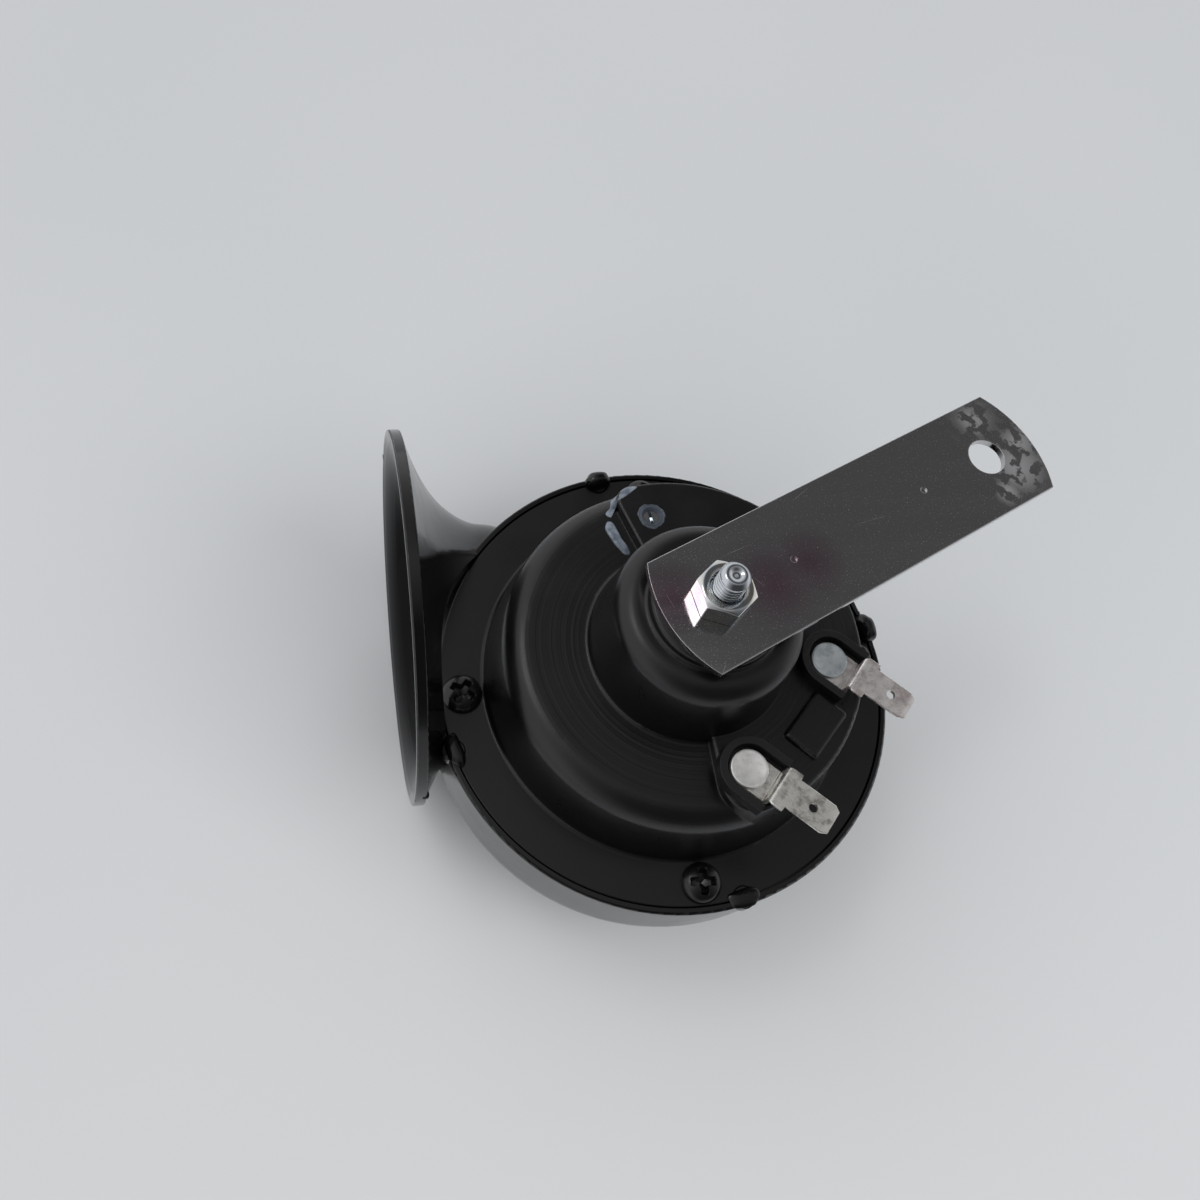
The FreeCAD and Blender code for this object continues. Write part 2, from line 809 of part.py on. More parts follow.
# Shared heights of the clamped stack, counted down from the flange
flange_under = -size("sheet_thick")
diaphragm_top = flange_under - size("gasket_thick")
diaphragm_under = diaphragm_top - size("diaphragm_thick")
seat_height = diaphragm_under - size("gasket_thick")
stud_radius = size("stud_diameter") / 2
screw_radius = size("flange_screw_shank") / 2
tail_hole = size("armature_tail_radius") + size("thread_gap")
platform_under = size("platform_height") - size("sheet_thick")
leg_bottom = size("platform_height") + size("tray_floor")
leg_top = leg_bottom + size("blade_thick")
strap_top = size("boss_height") + size("strap_thick")


def turned_body(name, corners, x=ZERO, y=ZERO):
    body = new_body(name)
    revolved(body, name + "_form", corners)
    place(body, x, y)
    return body


def washer(name, inner, outer, bottom, top, x=ZERO, y=ZERO):
    return turned_body(name, [(inner, bottom), (outer, bottom), (outer, top), (inner, top)], x, y)


def clamped_disc(name, inner, bottom, top):
    """A disc held under the flange, with holes for the screws and notches for the posts."""
    body = new_body(name)
    sketch = new_sketch(body, name + "_outline", lift=bottom)
    add_circle(sketch, 0.0, 0.0, size("flange_radius") - size("diaphragm_edge"))
    add_circle(sketch, 0.0, 0.0, inner)
    pad(body, name + "_disc", sketch, top - bottom)
    sketch = new_sketch(body, name + "_hole_centres")
    for alias in SCREW_ALIASES:
        x, y = around(screw_circle, size(alias))
        add_circle(sketch, x, y, screw_radius + size("thread_gap"))
    pocket(body, name + "_holes", sketch)
    sketch = new_sketch(body, name + "_notch_centres")
    for alias in POST_ALIASES:
        x, y = around(post_circle, size(alias))
        add_circle(sketch, x, y, size("post_radius") + size("post_gap"))
    pocket(body, name + "_notches", sketch)
    place(body)


# Trumpet cover: a plastic disc pressed into the shell, with the throat's hole.
cover = new_body("trumpet_cover")
cover_bottom = -(size("cover_top") + size("cover_thick"))
cover_sketch = new_sketch(cover, "cover_outline", lift=cover_bottom)
add_circle(cover_sketch, 0.0, 0.0, seat_radius - size("cover_gap"))
add_circle(cover_sketch, -size("throat_shift"), size("duct_start_circle"), size("throat_radius"))
pad(cover, "cover_disc", cover_sketch, size("cover_thick"))
place(cover)

# Gaskets and diaphragm: thin discs clamped between the flange and the shell.
clamped_disc("gasket_upper", clamp_radius, diaphragm_top, flange_under)
clamped_disc("diaphragm", tail_hole, diaphragm_under, diaphragm_top)
clamped_disc("gasket_lower", clamp_radius, seat_height, diaphragm_under)

# Armature: a turned steel plunger riveted through the diaphragm between two washers.
washer_top = diaphragm_top + size("diaphragm_washer_thick")
washer_under = diaphragm_under - size("diaphragm_washer_thick")
washer("diaphragm_washer_upper", tail_hole, size("diaphragm_washer_radius"), diaphragm_top, washer_top)
washer("diaphragm_washer_lower", tail_hole, size("diaphragm_washer_radius"), washer_under, diaphragm_under)
collar_bottom = size("armature_collar_bottom")
collar_top = collar_bottom + size("armature_collar_thick")
armature_top = size("core_bottom") - size("running_gap")
turned_body("armature", [
    (0.0, washer_under - size("armature_head_thick")),
    (size("armature_head_radius"), washer_under - size("armature_head_thick")),
    (size("armature_head_radius"), washer_under),
    (size("armature_tail_radius"), washer_under),
    (size("armature_tail_radius"), washer_top),
    (size("armature_radius"), washer_top),
    (size("armature_radius"), collar_bottom),
    (size("armature_collar_radius"), collar_bottom),
    (size("armature_collar_radius"), collar_top),
    (size("armature_radius"), collar_top),
    (size("armature_radius"), armature_top),
    (0.0, armature_top),
])

# Electromagnet: pole plate, bobbin, winding and the fixed core that carries the stud.
plateau_under = size("plateau_height") - size("sheet_thick")
washer(
    "pole_plate", size("armature_radius") + size("running_gap"), size("pole_plate_radius"),
    plateau_under - size("pole_plate_thick"), plateau_under)
hub_inner = size("core_radius") + size("bobbin_gap")
hub_outer = hub_inner + size("bobbin_hub_wall")
bobbin_top = plateau_under + size("bobbin_height")
winding_bottom = plateau_under + size("bobbin_flange_thick")
winding_top = bobbin_top - size("bobbin_flange_thick")
turned_body("coil_bobbin", [
    (hub_inner, plateau_under),
    (size("bobbin_flange_radius"), plateau_under),
    (size("bobbin_flange_radius"), winding_bottom),
    (hub_outer, winding_bottom),
    (hub_outer, winding_top),
    (size("bobbin_flange_radius"), winding_top),
    (size("bobbin_flange_radius"), bobbin_top),
    (hub_inner, bobbin_top),
])
washer("coil_winding", hub_outer, size("winding_radius"), winding_bottom, winding_top)
boss_under = size("boss_height") - size("sheet_thick")
core_neck = boss_under - size("core_head_thick")
core = turned_body("pole_core", [
    (0.0, size("core_bottom")),
    (size("core_radius"), size("core_bottom")),
    (size("core_radius"), core_neck),
    (size("core_head_radius"), core_neck),
    (size("core_head_radius"), boss_under),
    (stud_radius, boss_under),
    (stud_radius, size("stud_top") - size("stud_chamfer")),
    (stud_radius - size("stud_chamfer"), size("stud_top")),
    (0.0, size("stud_top")),
])
thread_start = size("boss_height") + size("thread_pitch")
thread_outer = stud_radius + size("thread_gap")
half_mouth = size("thread_mouth") / 2
groove = revolved(core, "thread_groove", [
    (thread_outer, thread_start - half_mouth),
    (stud_radius - size("thread_depth"), thread_start),
    (thread_outer, thread_start + half_mouth),
], "Groove")
thread = core.newObject("PartDesign::LinearPattern", "thread_grooves")
thread.Originals = [groove]
thread.Direction = (origin_feature(core, "Z_Axis"), [""])
bind(thread, "Length", size("thread_pitch") * (THREAD_TURNS - 1))
thread.Occurrences = THREAD_TURNS
core.Tip = thread

# Mounting strap: a flat steel strip with curved ends, clamped on the boss by the nut.
strap = new_body("mounting_strap")
half_strap = size("strap_width") / 2
strap_sketch = new_sketch(strap, "strap_outline")
add_outline(strap_sketch, [
    (-size("strap_tail"), -half_strap),
    (size("strap_reach"), -half_strap),
    (size("strap_reach"), half_strap),
    (-size("strap_tail"), half_strap),
], {1: size("strap_end_radius"), 3: size("strap_end_radius")})
pad(strap, "strap_sheet", strap_sketch, size("strap_thick"))
strap_sketch = new_sketch(strap, "strap_holes")
add_circle(strap_sketch, 0.0, 0.0, stud_radius + size("thread_gap"))
add_circle(strap_sketch, size("strap_hole_reach"), 0.0, size("strap_hole_diameter") / 2)
pocket(strap, "strap_hole_cut", strap_sketch)
strap_sketch = new_sketch(strap, "strap_dimples", lift=size("strap_thick"))
add_circle(strap_sketch, size("dimple_near"), 0.0, size("dimple_diameter") / 2)
add_circle(strap_sketch, size("dimple_far"), 0.0, size("dimple_diameter") / 2)
pocket(strap, "strap_dimple_cut", strap_sketch, size("dimple_depth"))
round_edges(strap, "strap_edge_break", size("strap_edge"), lambda edge: (
    edge.BoundBox.ZLength < 1e-4 and edge.Length > 2 * math.pi * value("strap_hole_diameter")))
place(strap, z=size("boss_height"), turn=size("strap_turn"))

# Nut: a plain hexagon with its corners turned off at the top.
nut = new_body("strap_nut")
half_side = Size(180.0 / HEXAGON, "180 / %d" % HEXAGON)
nut_corner = size("nut_flats") / 2 / cosine(half_side)
nut_turns = [half_side * (2 * step) for step in range(HEXAGON)]
nut_sketch = new_sketch(nut, "nut_outline")
add_outline(nut_sketch, [around(nut_corner, turn) for turn in nut_turns])
pad(nut, "nut_block", nut_sketch, size("nut_height"))
nut_sketch = new_sketch(nut, "nut_bore_outline")
add_circle(nut_sketch, 0.0, 0.0, stud_radius + size("thread_gap"))
pocket(nut, "nut_bore", nut_sketch)
revolved(nut, "nut_corner_cut", [
    (size("nut_flats") / 2, size("nut_height")),
    (nut_corner + size("nut_chamfer"), size("nut_height") - size("nut_chamfer")),
    (nut_corner + size("nut_chamfer"), size("nut_height") + size("nut_chamfer")),
    (size("nut_flats") / 2, size("nut_height") + size("nut_chamfer")),
], "Groove")
place(nut, z=strap_top, turn=size("nut_turn"))

# Flange screws: pan heads with a cross recess, driven into the shell.
for number, word in enumerate(SCREW_WORDS, start=1):
    screw = new_body("flange_screw_%d" % number)
    head_radius = size("flange_screw_head") / 2
    head_top = size("flange_screw_head_height")
    revolved(screw, "screw_%d_form" % number, [
        (0.0, -size("flange_screw_length")),
        (screw_radius, -size("flange_screw_length")),
        (screw_radius, 0.0),
        (head_radius, 0.0),
        (head_radius, head_top),
        (0.0, head_top),
    ])
    crown = size("flange_screw_crown")
    round_edges(screw, "screw_%d_crown" % number, crown, ring_edge(head_radius, head_top))
    half_width = size("cross_slot_width") / 2
    half_length = size("cross_slot_length") / 2
    recess = new_sketch(screw, "screw_%d_cross" % number, lift=head_top)
    add_outline(recess, [
        (-half_width, -half_length), (half_width, -half_length), (half_width, -half_width),
        (half_length, -half_width), (half_length, half_width), (half_width, half_width),
        (half_width, half_length), (-half_width, half_length), (-half_width, half_width),
        (-half_length, half_width), (-half_length, -half_width), (-half_width, -half_width),
    ])
    pocket(screw, "screw_%d_recess" % number, recess, size("cross_slot_depth"))
    x, y = around(screw_circle, size("flange_screw_" + word))
    place(screw, x, y, turn=size("cross_turn_" + word))

# Terminals: tab, rivet, insulating tray above the sheet and insulating washer below it.
for number, side in ((1, -1.0), (2, 1.0)):
    angle = size("terminal_axis") + size("terminal_spread") * side
    x, y = around(terminal_circle, angle)
    shank = size("rivet_shank_radius")
    shank_hole = shank + size("thread_gap")
    sleeve = shank + size("tray_floor")
    washer_bottom = platform_under - size("inner_washer_thick")

    tray = new_body("terminal_tray_%d" % number)
    for part, half, end in (
            ("block", size("tray_outer_half"), size("tray_arm")),
            ("hollow", size("tray_outer_half") - size("tray_wall"), size("tray_arm") + size("tray_wall"))):
        lift = ZERO if part == "block" else size("tray_height")
        sketch = new_sketch(tray, "tray_%d_%s_outline" % (number, part), lift=lift)
        add_outline(sketch, [(0.0, -half), (end, -half), (end, half), (0.0, half)], {3: None})
        if part == "block":
            pad(tray, "tray_%d_block" % number, sketch, size("tray_height"))
        else:
            pocket(tray, "tray_%d_hollow" % number, sketch, size("tray_height") - size("tray_floor"))
    sketch = new_sketch(tray, "tray_%d_sleeve_outline" % number, lift=-size("sheet_thick"))
    add_circle(sketch, 0.0, 0.0, sleeve)
    pad(tray, "tray_%d_sleeve" % number, sketch, size("sheet_thick"))
    sketch = new_sketch(tray, "tray_%d_bore_outline" % number)
    add_circle(sketch, 0.0, 0.0, shank_hole)
    pocket(tray, "tray_%d_bore" % number, sketch)
    place(tray, x, y, size("platform_height"), size("terminal_turn"))

    washer_outer = size("inner_washer_radius")
    washer("inner_washer_%d" % number, shank_hole, washer_outer, washer_bottom, platform_under, x, y)
    turned_body("terminal_rivet_%d" % number, [
        (0.0, washer_bottom - size("rivet_tail_thick")),
        (size("rivet_tail_radius"), washer_bottom - size("rivet_tail_thick")),
        (size("rivet_tail_radius"), washer_bottom),
        (shank, washer_bottom),
        (shank, leg_top),
        (size("rivet_head_radius"), leg_top),
        (size("rivet_head_radius"), leg_top + size("rivet_head_thick")),
        (0.0, leg_top + size("rivet_head_thick")),
    ], x, y)

    blade = new_body("terminal_blade_%d" % number)
    half_leg = size("leg_width") / 2
    half_shoulder = size("blade_shoulder_width") / 2
    half_blade = size("blade_width") / 2
    half_tip = size("blade_tip_width") / 2
    rise = size("blade_height") - leg_bottom
    thick = size("blade_thick")
    leg_end = size("leg_end")
    end = size("blade_end")
    sketch = new_sketch(blade, "blade_%d_side" % number, "XZ_Plane")
    add_outline(sketch, [
        (-half_leg, 0.0), (leg_end + thick, 0.0), (leg_end + thick, rise - thick), (end, rise - thick),
        (end, rise), (leg_end, rise), (leg_end, thick), (-half_leg, thick),
    ])
    pad(blade, "blade_%d_strip" % number, sketch, size("blade_shoulder_width"), True)
    inner_bend = size("bend_radius")
    for x_bend, z_bend, radius in (
            (leg_end + thick, 0.0, inner_bend + thick),
            (leg_end, rise, inner_bend + thick),
            (leg_end, thick, inner_bend),
            (leg_end + thick, rise - thick, inner_bend)):
        round_edges(blade, "blade_%d_bend" % number, radius, cross_edge(x_bend, z_bend))
    sketch = new_sketch(blade, "blade_%d_trim" % number)
    margin = size("blade_shoulder_width")
    add_outline(sketch, [
        (-margin, -margin), (end + margin, -margin), (end + margin, margin), (-margin, margin)])
    shoulder = size("blade_shoulder_start")
    start = size("blade_start")
    tip = end - size("blade_tip_length")
    lower = [
        (0.0, -half_leg), (shoulder, -half_leg), (shoulder, -half_shoulder), (start, -half_shoulder),
        (start, -half_blade), (tip, -half_blade), (end, -half_tip),
    ]
    upper = [(x_edge, -y_edge) for x_edge, y_edge in reversed(lower)]
    add_outline(sketch, lower + upper, {13: None})
    pocket(blade, "blade_%d_plan" % number, sketch)
    sketch = new_sketch(blade, "blade_%d_bores" % number)
    add_circle(sketch, 0.0, 0.0, shank_hole)
    add_circle(sketch, size("blade_hole_distance"), 0.0, size("blade_hole_diameter") / 2)
    pocket(blade, "blade_%d_holes" % number, sketch)
    place(blade, x, y, leg_bottom, size("terminal_turn"))

# Breaker: two spring arms on an insulated stack, with the contacts between them.
adjuster_x, adjuster_y = around(adjuster_distance, size("adjuster_angle"))
stack_x = size("stack_x")
stack_y = size("stack_y")
arm_turn = arctangent(adjuster_y - stack_y, adjuster_x - stack_x)
adjuster_reach = (adjuster_x - stack_x) * cosine(arm_turn) + (adjuster_y - stack_y) * sine(arm_turn)
half_arm = size("arm_width") / 2
moving_bottom = size("arm_bottom")
moving_top = moving_bottom + size("arm_thick")
contact_middle = moving_top + size("contact_thick")
fixed_bottom = contact_middle + size("contact_thick")
fixed_top = fixed_bottom + size("arm_thick")
tongue_middle = -(stack_x * cosine(arm_turn) + stack_y * sine(arm_turn))
tongue_tip = stack_x * sine(arm_turn) - stack_y * cosine(arm_turn)
tongue_tip = tongue_tip - size("armature_radius") - size("running_gap")
contact_x = stack_x + size("contact_reach") * cosine(arm_turn)
contact_y = stack_y + size("contact_reach") * sine(arm_turn)


def spring_arm(name, end, bottom, tongue):
    body = new_body(name)
    sketch = new_sketch(body, name + "_outline")
    corners = [(0.0, -half_arm), (end, -half_arm), (end, half_arm)]
    if tongue:
        corners += [
            (tongue_middle + half_arm, half_arm), (tongue_middle + half_arm, tongue_tip),
            (tongue_middle - half_arm, tongue_tip), (tongue_middle - half_arm, half_arm),
        ]
    corners.append((0.0, half_arm))
    add_outline(sketch, corners, {len(corners) - 1: None})
    pad(body, name + "_strip", sketch, size("arm_thick"))
    sketch = new_sketch(body, name + "_bore_outline")
    add_circle(sketch, 0.0, 0.0, size("stack_rivet_radius"))
    pocket(body, name + "_bore", sketch)
    place(body, stack_x, stack_y, bottom, arm_turn)


spring_arm("moving_arm", size("contact_reach") + half_arm, moving_bottom, True)
spring_arm("fixed_arm", adjuster_reach + half_arm, fixed_bottom, False)
washer("moving_contact", 0.0, size("contact_radius"), moving_top, contact_middle, contact_x, contact_y)
washer("fixed_contact", 0.0, size("contact_radius"), contact_middle, fixed_bottom, contact_x, contact_y)
stack_bottom = moving_bottom - size("stack_base")
rivet_radius = size("stack_rivet_radius")
for name, bottom, top in (
        ("stack_insulator_lower", stack_bottom, moving_bottom),
        ("stack_insulator_middle", moving_top, fixed_bottom),
        ("stack_insulator_upper", fixed_top, platform_under)):
    washer(name, rivet_radius, size("stack_radius"), bottom, top, stack_x, stack_y)
turned_body("stack_rivet", [
    (0.0, stack_bottom - size("stack_head_thick")),
    (size("stack_head_radius"), stack_bottom - size("stack_head_thick")),
    (size("stack_head_radius"), stack_bottom),
    (rivet_radius, stack_bottom),
    (rivet_radius, size("platform_height")),
    (size("stack_head_radius"), size("platform_height")),
    (size("stack_head_radius"), size("platform_height") + size("stack_head_thick")),
    (0.0, size("platform_height") + size("stack_head_thick")),
], stack_x, stack_y)

# Adjusting screw with its sealing lacquer, in a hole of the platform.
adjuster = new_body("adjusting_screw")
adjuster_top = size("platform_height") - size("adjuster_below_top")
revolved(adjuster, "adjuster_form", [
    (0.0, fixed_top), (size("adjuster_radius"), fixed_top),
    (size("adjuster_radius"), adjuster_top), (0.0, adjuster_top),
])
adjuster_sketch = new_sketch(adjuster, "adjuster_slot_outline", lift=adjuster_top)
half_slot = size("adjuster_slot_width") / 2
slot_end = size("adjuster_radius") * 2
add_outline(adjuster_sketch, [
    (-slot_end, -half_slot), (slot_end, -half_slot), (slot_end, half_slot), (-slot_end, half_slot)])
pocket(adjuster, "adjuster_slot", adjuster_sketch, size("adjuster_slot_depth"))
place(adjuster, adjuster_x, adjuster_y, turn=size("adjuster_angle"))
turned_body("locking_lacquer", [
    (0.0, adjuster_top),
    (size("adjuster_radius"), adjuster_top),
    (size("adjuster_radius"), size("platform_height") - size("lacquer_depth")),
    (size("lacquer_radius"), size("platform_height") - size("lacquer_depth")),
    (size("lacquer_radius"), size("platform_height") + size("lacquer_proud")),
    (size("adjuster_radius"), size("platform_height") + size("lacquer_proud")),
    (0.0, adjuster_top + size("lacquer_skin")),
], adjuster_x, adjuster_y)

# Checks and export, one file for each piece
document.recompute()
pieces = [item for item in document.Objects if item.TypeId in ("PartDesign::Body", "Part::Feature")]
for item in document.Objects:
    if "Invalid" in item.State or "Error" in item.State:
        raise RuntimeError("%s is not computed: %s" % (item.Label, item.State))
for item in pieces:
    shape = item.Shape
    if shape.isNull() or not shape.isValid() or len(shape.Solids) != 1:
        raise RuntimeError("%s is not one valid solid" % item.Label)
    shape.exportStep("parts/%s.step" % item.Label)
    print("%s %.1f mm3" % (item.Label, shape.Volume))
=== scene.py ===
import math

import bmesh
import bpy
from mathutils import Euler, Matrix, Vector


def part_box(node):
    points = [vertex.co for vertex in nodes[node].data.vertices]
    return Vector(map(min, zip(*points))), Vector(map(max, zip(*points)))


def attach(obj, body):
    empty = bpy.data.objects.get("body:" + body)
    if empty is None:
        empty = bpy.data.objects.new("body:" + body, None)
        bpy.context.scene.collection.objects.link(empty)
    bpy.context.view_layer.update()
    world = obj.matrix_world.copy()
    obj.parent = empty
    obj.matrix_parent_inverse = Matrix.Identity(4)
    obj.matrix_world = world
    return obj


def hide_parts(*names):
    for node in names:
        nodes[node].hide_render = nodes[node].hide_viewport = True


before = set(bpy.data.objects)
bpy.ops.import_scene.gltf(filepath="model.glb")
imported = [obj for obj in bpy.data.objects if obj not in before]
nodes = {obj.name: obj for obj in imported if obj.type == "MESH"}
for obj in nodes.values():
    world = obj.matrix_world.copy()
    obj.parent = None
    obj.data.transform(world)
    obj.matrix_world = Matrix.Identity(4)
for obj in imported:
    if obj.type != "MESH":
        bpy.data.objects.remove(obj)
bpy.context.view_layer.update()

scene = bpy.context.scene
scene.view_settings.view_transform = "Standard"

# Camera
# A phone held above the table, a little to the left of the horn and in front of it.
# Its place and turn are worked out from the circles and corners of the horn in the photograph.
CAMERA_PLACE = Vector((-0.13075, -0.09772, 0.16747))
CAMERA_AXES = Matrix((
    (0.96900, 0.07173, -0.23640),
    (-0.16105, 0.90906, -0.38428),
    (0.18734, 0.41044, 0.89244),
))
CAMERA_LENS = 31.77
CAMERA_SENSOR = 36.0
CAMERA_CLIP = 0.01
camera = bpy.data.objects.new("camera", bpy.data.cameras.new("camera"))
camera.data.lens = CAMERA_LENS
camera.data.sensor_width = CAMERA_SENSOR
camera.data.clip_start = CAMERA_CLIP
camera.data.dof.use_dof = False
camera.matrix_world = Matrix.Translation(CAMERA_PLACE) @ CAMERA_AXES.normalized().to_4x4()
scene.collection.objects.link(camera)
scene.camera = camera


# Table
# A pale laminate top. The horn lies on the lip of its mouth and on the belly of its shell,
# so in the horn's own frame the table is tilted.
TABLE_TILT = math.radians(4.89)
TABLE_POINT = Vector((-0.1176, -0.0058, -0.0880))
TABLE_SIZE = 4.0
TABLE_CORNERS = ((-1, -1), (1, -1), (1, 1), (-1, 1))
table_mesh = bpy.data.meshes.new("table")
table_mesh.from_pydata(
    [(x * TABLE_SIZE / 2, y * TABLE_SIZE / 2, 0) for x, y in TABLE_CORNERS], [], [(0, 1, 2, 3)])
table = bpy.data.objects.new("table", table_mesh)
table.location = TABLE_POINT
table.rotation_euler = Euler((0, -TABLE_TILT, 0))
scene.collection.objects.link(table)


class Finish:
    """A procedural material, built node by node around one Principled shader."""

    bevel_samples = 6

    def __init__(self, name, color, roughness, metallic=0.0):
        self.material = bpy.data.materials.new(name)
        self.material.use_nodes = True
        self.tree = self.material.node_tree
        self.shader = self.tree.nodes["Principled BSDF"]
        self.output = self.tree.nodes["Material Output"]
        self.place = self.tree.nodes.new("ShaderNodeTexCoord").outputs["Object"]
        self.shader.inputs["Base Color"].default_value = (*color, 1)
        self.shader.inputs["Roughness"].default_value = roughness
        self.shader.inputs["Metallic"].default_value = metallic

    def node(self, kind, **settings):
        """A new node with its settings and plain socket values."""
        item = self.tree.nodes.new("ShaderNode" + kind)
        for key, value in settings.items():
            if hasattr(item, key):
                setattr(item, key, value)
            else:
                item.inputs[key.replace("_", " ")].default_value = value
        return item

    def link(self, start, end):
        self.tree.links.new(start, end)

    def noise(self, scale, detail=4.0, roughness=0.5, stretch=None, turn=0.0):
        """Noise over the object, in cycles a metre, drawn out along an axis by stretch."""
        item = self.node("TexNoise", Scale=scale, Detail=detail, Roughness=roughness)
        where = self.place
        if stretch or turn:
            mapping = self.node("Mapping")
            mapping.inputs["Scale"].default_value = stretch or (1, 1, 1)
            mapping.inputs["Rotation"].default_value = (0, 0, turn)
            self.link(where, mapping.inputs["Vector"])
            where = mapping.outputs["Vector"]
        self.link(where, item.inputs["Vector"])
        return item.outputs["Fac"]

    def steps(self, source, stops, ease="LINEAR"):
        """A ramp from a number to colours or numbers at the given stops."""
        ramp = self.node("ValToRGB")
        ramp.color_ramp.interpolation = ease
        elements = ramp.color_ramp.elements
        while len(elements) < len(stops):
            elements.new(0.5)
        for element, (position, value) in zip(elements, stops):
            element.position = position
            element.color = (*value, 1) if isinstance(value, tuple) else (value, value, value, 1)
        self.link(source, ramp.inputs["Fac"])
        return ramp.outputs["Color"]

    def feed(self, socket, source):
        """Leads a colour or number into the shader."""
        self.link(source, self.shader.inputs[socket])

    def bump(self, source, strength, distance):
        """Adds relief from a height, on top of the relief that is there."""
        item = self.node("Bump", Strength=strength, Distance=distance)
        self.link(source, item.inputs["Height"])
        chained = self.shader.inputs["Normal"]
        if chained.is_linked:
            self.link(chained.links[0].from_socket, item.inputs["Normal"])
        self.link(item.outputs["Normal"], chained)

    def round_off(self, radius):
        """Softens the look of sharp edges, as paint or plating does, by a radius in metres."""
        chained = self.shader.inputs["Normal"]
        item = self.node("Bevel", samples=self.bevel_samples, Radius=radius)
        if chained.is_linked:
            self.link(chained.links[0].from_socket, item.inputs["Normal"])
        self.link(item.outputs["Normal"], chained)

    def combine(self, operation, first, second):
        """Two numbers put together, such as MAXIMUM or MULTIPLY."""
        item = self.node("Math", operation=operation)
        self.link(first, item.inputs[0])
        self.link(second, item.inputs[1])
        return item.outputs["Value"]

    def distance_to(self, place):
        """Distance in metres from a place on the object."""
        item = self.node("VectorMath", operation="DISTANCE")
        self.link(self.place, item.inputs[0])
        item.inputs[1].default_value = place
        return item.outputs["Value"]

    def reach_of(self, place, half_sizes, turn=0.0):
        """A number that is 1 on an ellipsoid round a place and smaller inside it."""
        mapping = self.node("Mapping", vector_type="TEXTURE")
        mapping.inputs["Location"].default_value = place
        mapping.inputs["Rotation"].default_value = (0, 0, turn)
        mapping.inputs["Scale"].default_value = half_sizes
        self.link(self.place, mapping.inputs["Vector"])
        item = self.node("VectorMath", operation="LENGTH")
        self.link(mapping.outputs["Vector"], item.inputs[0])
        return item.outputs["Value"]

    def blend_by(self, share, start, end):
        """A number that goes from start to end as share goes from 0 to 1."""
        item = self.node("Mix", data_type="FLOAT")
        self.link(share, item.inputs["Factor"])
        self.link(start, item.inputs["A"])
        item.inputs["B"].default_value = end
        return item.outputs["Result"]


def dress(piece, finish):
    """Gives a piece one finish all over."""
    piece.data.materials.clear()
    piece.data.materials.append(finish.material)


laminate = Finish("table_laminate", (0.77, 0.785, 0.79), 0.42)
laminate.bump(laminate.noise(900.0), 0.04, 0.0002)
laminate.feed("Base Color", laminate.steps(
    laminate.noise(2.2, 2.0), [(0.3, (0.70, 0.725, 0.745)), (0.7, (0.77, 0.785, 0.79))]))
dress(table, laminate)


# Room light
# Plain soft light from a wide bright room. Straight over the horn is a darker patch of ceiling,
# which the flat strap and the black paint mirror, and the room is darker low down in front.
ROOM_STRENGTH = 0.92
ROOM_TINT = (1.0, 1.0, 1.02)
DARK_PATCHES = (
    # direction, and how dark the room is at each closeness to it
    ((0.42, 0.46, 0.78), ((0.70, 0.0), (0.85, 0.33), (0.945, 0.62), (0.967, 0.78), (0.979, 0.905))),
    ((0.20, -0.78, 0.58), ((0.42, 0.0), (0.68, 0.62), (0.9, 0.93))),
)
world = bpy.data.worlds.new("room")
scene.world = world
world.use_nodes = True
room = world.node_tree
background = room.nodes["Background"]
direction = room.nodes.new("ShaderNodeTexCoord").outputs["Generated"]
shading = None
for centre, shades in DARK_PATCHES:
    toward = room.nodes.new("ShaderNodeVectorMath")
    toward.operation = "DOT_PRODUCT"
    toward.inputs[1].default_value = Vector(centre).normalized()
    room.links.new(direction, toward.inputs[0])
    shade = room.nodes.new("ShaderNodeValToRGB")
    while len(shade.color_ramp.elements) < len(shades):
        shade.color_ramp.elements.new(0.5)
    for element, (position, darkness) in zip(shade.color_ramp.elements, shades):
        element.position = position
        element.color = (1 - darkness, 1 - darkness, 1 - darkness, 1)
    room.links.new(toward.outputs["Value"], shade.inputs["Fac"])
    joined = room.nodes.new("ShaderNodeVectorMath")
    joined.operation = "MULTIPLY"
    room.links.new(shade.outputs["Color"], joined.inputs[0])
    if shading is None:
        joined.inputs[1].default_value = ROOM_TINT
    else:
        room.links.new(shading, joined.inputs[1])
    shading = joined.outputs["Vector"]
room.links.new(shading, background.inputs["Color"])
background.inputs["Strength"].default_value = ROOM_STRENGTH

# Two soft lamps: one over the far left, and one over the near right that fills the shadow.
LAMPS = (
    # name, place, length and width, power in watts, and whether it is mirrored
    ("window", (-0.62, 0.42, 1.3), (0.5, 0.3), 1.4, True),
    ("ceiling", (0.45, -0.75, 1.2), (1.4, 1.0), 11.0, False),
)
for name, place, (length, width), power, mirrored in LAMPS:
    lamp_data = bpy.data.lights.new(name, "AREA")
    lamp_data.shape = "RECTANGLE"
    lamp_data.size = length
    lamp_data.size_y = width
    lamp_data.energy = power
    lamp = bpy.data.objects.new(name, lamp_data)
    lamp.location = place
    lamp.rotation_euler = (-Vector(place)).to_track_quat("-Z", "Y").to_euler()
    lamp.visible_glossy = mirrored
    scene.collection.objects.link(lamp)


